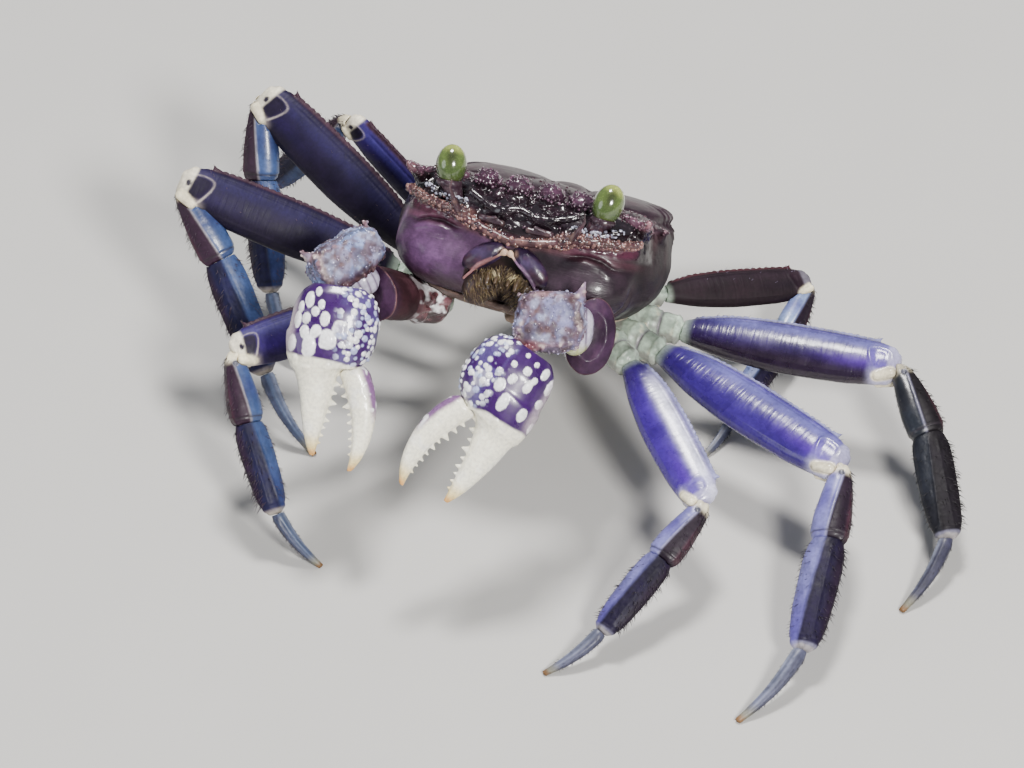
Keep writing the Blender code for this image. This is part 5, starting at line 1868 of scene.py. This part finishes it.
def finger_form(rows, profile, points):
    """A hand form from its outline rows; points hold reach, height and thickness."""
    def level(places):
        reach, height, thick = places.T
        middle, tall, half = [curve(reach) for curve in profile]
        high = (height - middle) / np.maximum(tall, 0.06)
        wide = thick / np.maximum(half, 0.06)
        return (np.abs(high) ** 2.3 + np.abs(wide) ** 2.1) ** 0.46 - 1.0
    side = in_millimetres(level, points)
    first, last = rows[0][0], rows[-1][0]
    ends = np.maximum(points[:, 0] - last, first - points[:, 0])
    return -smooth_min(-side, -ends, 0.2)


def add_teeth(form, points, profile, teeth, facing):
    for reach, size in teeth:
        middle, tall, _ = [float(curve(np.array([reach]))[0]) for curve in profile]
        edge = middle + facing * (tall - size * 0.4)
        tip = (reach + 0.2 * size, edge + facing * size * 1.05, 0.0)
        tooth = bar(points, (reach, edge - facing * 0.2, 0.0), tip, size * 0.72, 0.12)
        form = smooth_min(form, tooth, 0.2)
    return form


def palm_shift(side, reach):
    return CLAWS[side]["palm_rise"] * smoothstep(14.0, 6.0, reach)


def palm_form(side, points):
    shift = palm_shift(side, points[:, 0])
    moved = points - np.stack((np.zeros(len(points)), shift, np.zeros(len(points))), -1)
    form = finger_form(PALM, PALM_CURVES, moved)
    finger = finger_form(FIXED_FINGER, FIXED_CURVES, moved)
    form = smooth_min(form, finger, 1.2)
    return add_teeth(form, moved, FIXED_CURVES, FIXED_TEETH, 1.0)


def spot_field(side, points):
    """How far a point lies from the nearest white spot on the palm's outer face, in spot radii."""
    nearest = np.full(len(points), 9.0)
    for reach, height, length, width in SPOTS[side]:
        gap = np.hypot((points[:, 0] - reach) / length, (points[:, 1] - height) / width)
        nearest = np.minimum(nearest, gap)
    return nearest


def palm_grains(points):
    """The grains of the palm's upper face: distance in radii and tone."""
    return pebbles(points, 0.78, 9)


def dressed_palm(side, points):
    form = palm_form(side, points)
    reach, height, thick = points.T
    outer = smoothstep(0.2, 1.0, thick * CLAWS[side]["outer_side"])
    spots = smoothstep(1.25, 0.55, spot_field(side, points)) * outer
    form = form - 0.13 * spots
    upper = smoothstep(0.6, 2.8, height - palm_shift(side, reach)) * smoothstep(9.6, 8.4, reach)
    near = (np.abs(form) < 0.8) & (upper > 0.02)
    form[near] -= upper[near] * 0.17 * smoothstep(1.1, 0.35, palm_grains(points[near])[0])
    return roughen(form, points, 0.02, 1.5, 92)


def block_frame(side):
    data = CLAWS[side]
    axes = square_axes(data["carpus_along"], data["carpus_up"])
    return np.array(data["carpus"], float), axes, np.array(data["carpus_size"])


def block_form(side, points):
    """The claw's wrist block, in body coordinates."""
    centre, axes, size = block_frame(side)
    local = (points - centre) @ axes.T

    def level(places):
        return ((np.abs(places / size) ** 3.2).sum(axis=1)) ** (1 / 3.2) - 1.0

    form = in_millimetres(level, local)
    return form, local, size


def from_block(side, shares):
    centre, axes, size = block_frame(side)
    return centre + (np.array(shares) * size) @ axes


def dressed_block(side, points):
    form, local, size = block_form(side, points)
    shares = np.abs(local / size)
    near = np.abs(form) < 1.2
    order = np.sort(shares[near], axis=1)
    edges = smoothstep(0.60, 0.86, order[:, 1])
    lumps = noise(points[near], 0.9, 94) * 0.14 + noise(points[near], 0.45, 96) * 0.09
    lumps = lumps + noise(points[near], 2.7, 89) * 0.6
    torn = np.abs(noise(points[near], 0.8, 95)) * 0.75 - 0.15
    form[near] -= lumps + edges * torn
    sign = 1.0 if side == "left" else -1.0
    corner = from_block(side, (-0.86 * sign, 0.72, -0.2))
    tip = from_block(side, (-1.02 * sign, 1.25, -0.25))
    return smooth_min(form, bar(points, corner, tip, 0.75, 0.12), 0.4)


ARM = (
    (0.0, 0.62, 0.62, 0.62), (0.12, 0.80, 0.80, 0.80), (0.40, 0.74, 0.95, 0.92), (0.72, 0.80, 1.20, 1.20),
    (0.92, 0.78, 1.28, 1.28), (1.0, 0.55, 0.95, 0.95),
)
ARM_HEIGHT = 3.3


def arm_limb(side):
    data = CLAWS[side]
    shoulder = np.array(data["shoulder"], float)
    reach = np.array(data["elbow"], float) - shoulder
    length = np.linalg.norm(reach)
    direction = reach / length
    across = Vector(np.cross(direction, (0.0, 0.0, 1.0))).normalized()
    across = np.array(Matrix.Rotation(math.radians(data["arm_turn"]), 3, Vector(direction)) @ across)
    axes = (direction, across, np.cross(across, direction))
    return Limb(shoulder, axes, length, ARM_HEIGHT, ARM, dress=dress_arm)


def dress_arm(limb, points, field):
    s = points[:, 0]
    length = limb.length
    field = field - 0.25 * bell(s - 0.94 * length, 0.3) + 0.15 * bell(s - 0.55 * length, 0.2)
    field = carve(field, ball(points, (length + 0.75, 0.0, 0.0), (1.2, 2.1, 3.5)), 0.3)
    root = smoothstep(0.55, 0.30, s / length)
    near = np.abs(field) < 1.2
    field[near] -= root[near] * (np.abs(noise(points[near], 1.6, 93)) * 0.9 - 0.25)
    return roughen(field, points, 0.07, 1.1, 97)


COLLAR_RADII = {"left": (1.9, 2.2, 2.9), "right": (2.2, 2.2, 1.9)}


def collar_middle(side):
    elbow = np.array(CLAWS[side]["elbow"])
    return elbow + (np.array(CLAWS[side]["carpus"]) - elbow) * 0.33


def collar_field(side, points):
    """The soft pale folds between the arm and the claw's wrist block, in body coordinates."""
    return ball(points, collar_middle(side), COLLAR_RADII[side])


def block_grains(side, points, quads, colours, material):
    """Coarse grains of the wrist block's own colours."""
    random = np.random.default_rng(29)
    normals = mesh_normals(points, quads)
    chosen = thinned(points, 0.85, random)
    count = len(chosen)
    centre, axes, size = block_frame(side)
    local = (points[chosen] - centre) @ axes.T / (size * 2.6)
    # The map has a field for each of the block's six faces.
    face = np.argmax(np.abs(local * size), axis=1)
    flat = np.where((face == 1)[:, None], local[:, ::2], local[:, :2])
    flat = np.where((face == 0)[:, None], local[:, 1:], flat)
    row = np.where(local[np.arange(count), face] > 0, 0.25, 0.75)
    unwrap = flat * (0.3, 0.45) + np.c_[0.17 + 0.33 * face, row]
    tones = colours[chosen][:, :3] * random.uniform(0.7, 1.7, (count, 1))
    add_grains("wrist_grains_" + side, from_body(points[chosen]), turned_out(normals[chosen]),
               random.uniform(0.07, 0.20, count), np.minimum(tones, 0.9), material, "arm", unwrap)


# Colours of the claws: the upper arm, the folds of the elbow, the wrist block and the hand.
CLAW = {
    "arm": (0.030, 0.010, 0.014), "arm patch": (0.080, 0.032, 0.042), "arm fore": (0.030, 0.012, 0.026),
    "arm end": (0.034, 0.013, 0.036), "end patch": (0.055, 0.024, 0.050), "end line": (0.22, 0.105, 0.10),
    "arm root": (0.22, 0.085, 0.10),
    "fold": (0.50, 0.46, 0.58), "crease shade": (0.10, 0.06, 0.12), "fold belly": (0.42, 0.45, 0.16),
    "block left": (0.17, 0.165, 0.30), "block right": (0.20, 0.25, 0.46), "brown": (0.075, 0.045, 0.055),
    "tan": (0.17, 0.095, 0.085), "blue": (0.42, 0.45, 0.66), "speck": (0.11, 0.055, 0.055),
    "rim": (0.24, 0.13, 0.15), "rim patch": (0.66, 0.54, 0.50), "shade": (0.045, 0.012, 0.016),
    "red corner": (0.50, 0.14, 0.16),
    "palm patch": (0.026, 0.006, 0.055), "palm top": (0.085, 0.060, 0.20), "grain": (0.42, 0.47, 0.76),
    "palm belly": (0.55, 0.45, 0.50), "finger streak": (0.16, 0.05, 0.20),
}


def make_arm(side, arm, material):
    def field(points):
        return np.maximum(arm.form(points), GAP - bare_body(arm.world(points)))

    points, quads = surface(field, (-1.0, -4.5, -5.2), (arm.length + 1.2, 4.5, 5.2), 0.15)
    s = points[:, 0]
    share = s / arm.length
    paint = Paint(len(points), CLAW["arm"])
    paint.lay(CLAW["arm patch"], smoothstep(0.1, 0.6, layered(points, 1.6, 98)) * 0.6)
    paint.lay(CLAW["arm fore"], smoothstep(0.80, 0.94, share))
    end = smoothstep(0.935, 0.960, share)
    paint.lay(CLAW["arm end"], end)
    patches = smoothstep(0.0, 0.6, layered(points * (1.0, 1.0, 0.3), 0.7, 90))
    paint.lay(CLAW["end patch"], end * patches * 0.7)
    paint.lay(CLAW["end line"], bell(s - 0.935 * arm.length, 0.09) * 0.8)
    root = smoothstep(0.62, 0.35, share)
    paint.lay(CLAW["arm root"], root * smoothstep(-0.2, 0.3, layered(points, 1.6, 97)) * 0.8)
    # White blobs at the root: partly the pale colour of its crumbs, partly painted wet highlights.
    paint.lay(WHITE, root * smoothstep(0.0, 0.35, layered(points, 1.1, 99)) * 0.9)
    marks = skin_marks(points, paint, 0.54 - 0.30 * root)
    world = from_body(arm.world(points))
    add_piece("upper_arm_" + side, world, quads, marks, material, "arm", ["arm_" + side])


def make_elbow_fold(side, arm, material):
    middle = collar_middle(side)

    def field(points):
        return np.maximum(collar_field(side, points), 0.08 - arm.field(points))

    points, quads = surface(field, middle - 3.1, middle + 3.1, 0.12)
    reach = (points - middle) @ block_frame(side)[1][0]
    paint = Paint(len(points), CLAW["fold"])
    # Painted shade: dark lines in the creases between the pale folds.
    paint.lay(CLAW["crease shade"], bell(reach - np.round(reach / 0.95) * 0.95, 0.14) * 0.9)
    paint.lay(CLAW["fold belly"], smoothstep(-0.8, -2.2, (points - middle)[:, 2]) * 0.8)
    marks = skin_marks(points, paint, 0.3)
    add_piece("elbow_fold_" + side, from_body(points), quads, marks, material, "arm")


def make_wrist_block(side, arm, material, grain_material):
    centre, axes, size = block_frame(side)

    def field(points):
        form = np.maximum(dressed_block(side, points), GAP - arm.field(points))
        return np.maximum(form, 0.06 - collar_field(side, points))

    points, quads = surface(field, centre - 6.6, centre + 6.6, 0.15)
    local = (points - centre) @ axes.T
    paint = Paint(len(points), CLAW["block " + side])
    patches = smoothstep(-0.05, 0.35, layered(points * (1.0, 1.0, 0.6), 1.3, 100))
    paint.lay(CLAW["brown"], patches * 0.9)
    paint.lay(CLAW["tan"], smoothstep(0.15, 0.5, noise(points, 2.1, 103)) * 0.5)
    paint.lay(CLAW["blue"], smoothstep(0.15, 0.5, noise(points, 1.2, 104)) * 0.5)
    paint.lay(CLAW["speck"], smoothstep(0.0, 0.4, noise(points, 0.6, 101)) * 0.6)
    order = np.sort(np.abs(local / size), axis=1)
    rim = smoothstep(0.66, 0.86, order[:, 1])
    paint.lay(CLAW["rim"], rim * 0.6)
    paint.lay(CLAW["rim patch"], rim * smoothstep(0.0, 0.4, noise(points, 0.7, 102)) * 0.8)
    height = local[:, 1] / size[1]
    if side == "right":
        paint.lay(CLAW["shade"], smoothstep(-0.35, -0.75, height) * 0.92)
    else:
        corner = smoothstep(-0.6, -0.95, height) * smoothstep(0.2, 0.8, local[:, 0] / size[0])
        paint.lay(CLAW["red corner"], corner)
    marks = skin_marks(points, paint, 0.5)
    name = "wrist_block_" + side
    add_piece(name, from_body(points), quads, marks, material, "arm", ["claw_carpus_" + side])
    block_grains(side, points, quads, paint.values, grain_material)


def make_hand(side, palm_material, finger_material):
    wrist, axes = hand_axes(side)
    gape = math.radians(CLAWS[side]["gape"])
    hinge = np.array((HINGE_REACH, CLAWS[side]["hinge_height"], 0.0))
    turn = np.array((
        (math.cos(gape), math.sin(gape), 0.0), (-math.sin(gape), math.cos(gape), 0.0), (0.0, 0.0, 1.0),
    ))

    def from_hand(points):
        return points @ axes + wrist

    def palm_field(points):
        return np.maximum(dressed_palm(side, points), GAP - block_form(side, from_hand(points))[0])

    def finger_field(points):
        form = finger_form(MOVABLE_FINGER, MOVABLE_CURVES, points)
        form = add_teeth(form, points, MOVABLE_CURVES, MOVABLE_TEETH, -1.0)
        bumps = smoothstep(0.2, 1.2, points[:, 1]) * smoothstep(8.0, 2.0, points[:, 0])
        form = form - 0.10 * bumps * np.maximum(noise(points, 0.6, 105), 0.0)
        return np.maximum(form, GAP - palm_form(side, points @ turn + hinge))

    points, quads = surface(palm_field, (-1.2, -6.6, -3.9), (21.6, 7.4, 3.9), 0.13)
    marks = skin_marks(points, *paint_palm(side, points))
    world = from_body(from_hand(points))
    add_piece("hand_" + side, world, quads, marks, palm_material, "palm", ["palm_" + side])

    points, quads = surface(finger_field, (-1.0, -3.2, -2.2), (13.6, 3.6, 2.2), 0.1)
    reach, height, _ = points.T
    paint = Paint(len(points), IVORY)
    paint.lay(WHITE, smoothstep(0.0, 0.6, layered(points, 1.5, 106)) * 0.5)
    streak = smoothstep(0.55, 1.25, height - MOVABLE_CURVES[0](reach)) * smoothstep(7.5, 4.5, reach)
    paint.lay(CLAW["finger streak"], streak * 0.95)
    paint.lay(WHITE, streak * smoothstep(0.25, 0.6, noise(points, 0.6, 105)))
    paint.lay(HONEY, smoothstep(9.4, 11.2, reach) * 0.85)
    paint.lay(AMBER, smoothstep(11.0, 12.0, reach) * 0.8)
    marks = skin_marks(points, paint, 0.26)
    world = from_body(from_hand(points @ turn + hinge))
    add_piece("finger_" + side, world, quads, marks, finger_material, "finger", ["claw_finger_" + side])


def make_claw(side, materials):
    arm = arm_limb(side)
    make_arm(side, arm, materials["arm"])
    make_elbow_fold(side, arm, materials["arm"])
    make_wrist_block(side, arm, materials["block"], materials["grain"])
    make_hand(side, materials["palm"], materials["finger"])


def paint_palm(side, points):
    reach, height, thick = points.T
    level = height - palm_shift(side, reach)
    outer = smoothstep(0.0, 0.9, thick * CLAWS[side]["outer_side"])
    paint = Paint(len(points), PALM_VIOLET)
    paint.lay(CLAW["palm patch"], smoothstep(0.0, 0.6, layered(points, 2.4, 110)) * 0.5)
    inner_spots = smoothstep(0.30, 0.5, noise(points, 1.2, 111)) * (1 - outer)
    paint.lay(WHITE, inner_spots * 0.9)
    ragged = spot_field(side, points) + 0.16 * noise(points, 0.5, 114) + 0.22 * noise(points, 1.3, 116)
    paint.lay(WHITE, smoothstep(1.36, 1.18, ragged) * outer)
    # The granular upper face; on the left hand it begins higher up.
    start = 0.2 if side == "right" else 0.9
    upper = smoothstep(start, start + 1.5, level + 0.5 * noise(points, 1.2, 115))
    upper = upper * smoothstep(9.8, 8.8, reach)
    grain, tone = palm_grains(points)
    paint.lay(CLAW["palm top"], upper * smoothstep(0.35, -0.1, noise(points, 1.6, 117)) * 0.8)
    paint.lay(CLAW["grain"], upper * smoothstep(1.15, 0.95, grain) * 0.9)
    paint.lay(WHITE, upper * smoothstep(1.12, 0.95, grain) * smoothstep(0.30, 0.5, tone))
    under = smoothstep(-3.6, -4.6, level) * smoothstep(9.0, 7.0, reach)
    paint.lay(CLAW["palm belly"], under * 0.7)
    # The fixed finger.
    start = 8.8 + 0.10 * level + 0.25 * noise(points, 1.6, 112)
    finger = smoothstep(start - 0.25, start + 0.15, reach)
    paint.lay(IVORY, finger)
    paint.lay(WHITE, finger * smoothstep(0.0, 0.6, layered(points, 1.5, 113)) * 0.3)
    paint.lay(HONEY, smoothstep(16.6, 18.8, reach) * 0.85)
    paint.lay(AMBER, smoothstep(18.5, 19.6, reach) * 0.8)
    return paint, 0.30 - 0.04 * finger


# Light, floor and camera.

CAMERA_ELEVATION = 40.1
CAMERA_AZIMUTH = 18.9
CAMERA_DISTANCE = 700.0
FOCAL_PIXELS = 5845.0
PHOTO_WIDTH = 1024.0
SENSOR = 36.0
SHIFT_PIXELS = (21.0, 36.0)


def add_camera():
    lift = math.radians(CAMERA_ELEVATION)
    turn = math.radians(CAMERA_AZIMUTH)
    back = Vector((math.sin(turn) * math.cos(lift), -math.cos(turn) * math.cos(lift), math.sin(lift)))
    right = Vector((math.cos(turn), math.sin(turn), 0.0))
    data = bpy.data.cameras.new("camera")
    item = bpy.data.objects.new("camera", data)
    place = Matrix((right, back.cross(right), back)).transposed().to_4x4()
    place.translation = (Vector(SHIFT) + back * CAMERA_DISTANCE) * MM
    item.matrix_world = place
    data.sensor_width = SENSOR
    data.lens = FOCAL_PIXELS * SENSOR / PHOTO_WIDTH
    data.shift_x = -SHIFT_PIXELS[0] / PHOTO_WIDTH
    data.shift_y = SHIFT_PIXELS[1] / PHOTO_WIDTH
    data.clip_start = 0.01
    data.clip_end = 20.0
    bpy.context.scene.collection.objects.link(item)
    bpy.context.scene.camera = item


# The lamps: name, place in metres, width, power in watts and colour.
LAMPS = (
    ("overhead", (-0.06, 0.16, 0.62), 0.14, 5.2, (1.0, 0.98, 0.96)),
    ("key", (0.34, -0.40, 0.42), 0.12, 6.4, (1.0, 0.98, 0.95)),
    ("fill", (-0.50, -0.45, 0.28), 0.4, 1.2, (0.90, 0.94, 1.0)),
)
LAMP_TARGET = (0.0, 0.0, 0.02)
SKY_COLOUR = (0.82, 0.88, 1.0, 1.0)
SKY_STRENGTH = 0.25
FLOOR_REACH = 3.0
FLOOR_GREYS = ((0.50, 0.49, 0.47), (0.54, 0.53, 0.51))


def add_light(name, place, size, power, colour):
    data = bpy.data.lights.new(name, "AREA")
    data.shape = "DISK"
    data.size = size
    data.energy = power
    data.color = colour
    item = bpy.data.objects.new(name, data)
    item.location = place
    item.rotation_euler = (Vector(LAMP_TARGET) - Vector(place)).to_track_quat("-Z", "Y").to_euler()
    bpy.context.scene.collection.objects.link(item)


def add_stage():
    mesh = bpy.data.meshes.new("floor")
    corners = [(FLOOR_REACH * x, FLOOR_REACH * y, 0.0) for x, y in ((-1, -1), (1, -1), (1, 1), (-1, 1))]
    mesh.from_pydata(corners, [], [(0, 1, 2, 3)])
    floor = bpy.data.objects.new("floor", mesh)
    bpy.context.scene.collection.objects.link(floor)
    look = Shader("floor_paper")
    look.set(Base_Color=look.mix(look.noise(40.0), *FLOOR_GREYS), Roughness=0.85)
    mesh.materials.append(look.material)
    world = bpy.data.worlds.new("studio")
    bpy.context.scene.world = world
    world.use_nodes = True
    sky = world.node_tree.nodes["Background"]
    sky.inputs["Color"].default_value = SKY_COLOUR
    sky.inputs["Strength"].default_value = SKY_STRENGTH
    for lamp in LAMPS:
        add_light(*lamp)


def build():
    shell = shell_material("shell_wet", 0.030, 0.10, 0.55, 0.4, (0.6, 0.6, 5.5), 0.25)
    under = shell_material("under_plain", 0.030, 0.25, 0.1)
    dark = shell_material("dark_gloss", 0.020, 0.08, 0.7)
    jaw = shell_material("jaw_satin", 0.020, 0.15, 0.35)
    materials = {
        "hip": shell_material("hip_mottled", 0.030, 0.2, 0.25),
        "merus": shell_material("leg_satin", 0.010, 0.16, 0.30, 0.22, (2.6, 0.4, 0.35), 0.3),
        "carpus": shell_material("knee_satin", 0.012, 0.16, 0.30, 0.22, (1.6, 0.5, 0.6), 0.3),
        "propodus": shell_material("shin_satin", 0.018, 0.2, 0.2, 0.3, (1.2, 0.8, 1.6), 0.6),
        "dactyl": shell_material("toe_satin", 0.012, 0.2, 0.2, 0.3, (1.0, 2.0, 2.0), 0.3),
        "arm": shell_material("arm_gloss", 0.030, 0.1, 0.5),
        "block": shell_material("block_rough", 0.050, 0.15, 0.3, 0.5),
        "bristle": coat_material("bristle_matt", False),
        "grain": coat_material("wrist_grain", True),
        "palm": shell_material("palm_gloss", 0.008, 0.12, 0.4, 0.05),
        "finger": shell_material("finger_gloss", 0.006, 0.1, 0.35, 0.03),
    }
    make_shell(shell)
    make_breast(under)
    make_abdomen(under)
    make_eyes(eye_material(), dark)
    make_feelers(dark)
    make_mouth(jaw, materials["bristle"])
    for side in ("left", "right"):
        make_claw(side, materials)
        for number in (1, 2, 3, 4):
            make_leg(side, number, materials)
    add_stage()
    add_camera()


build()
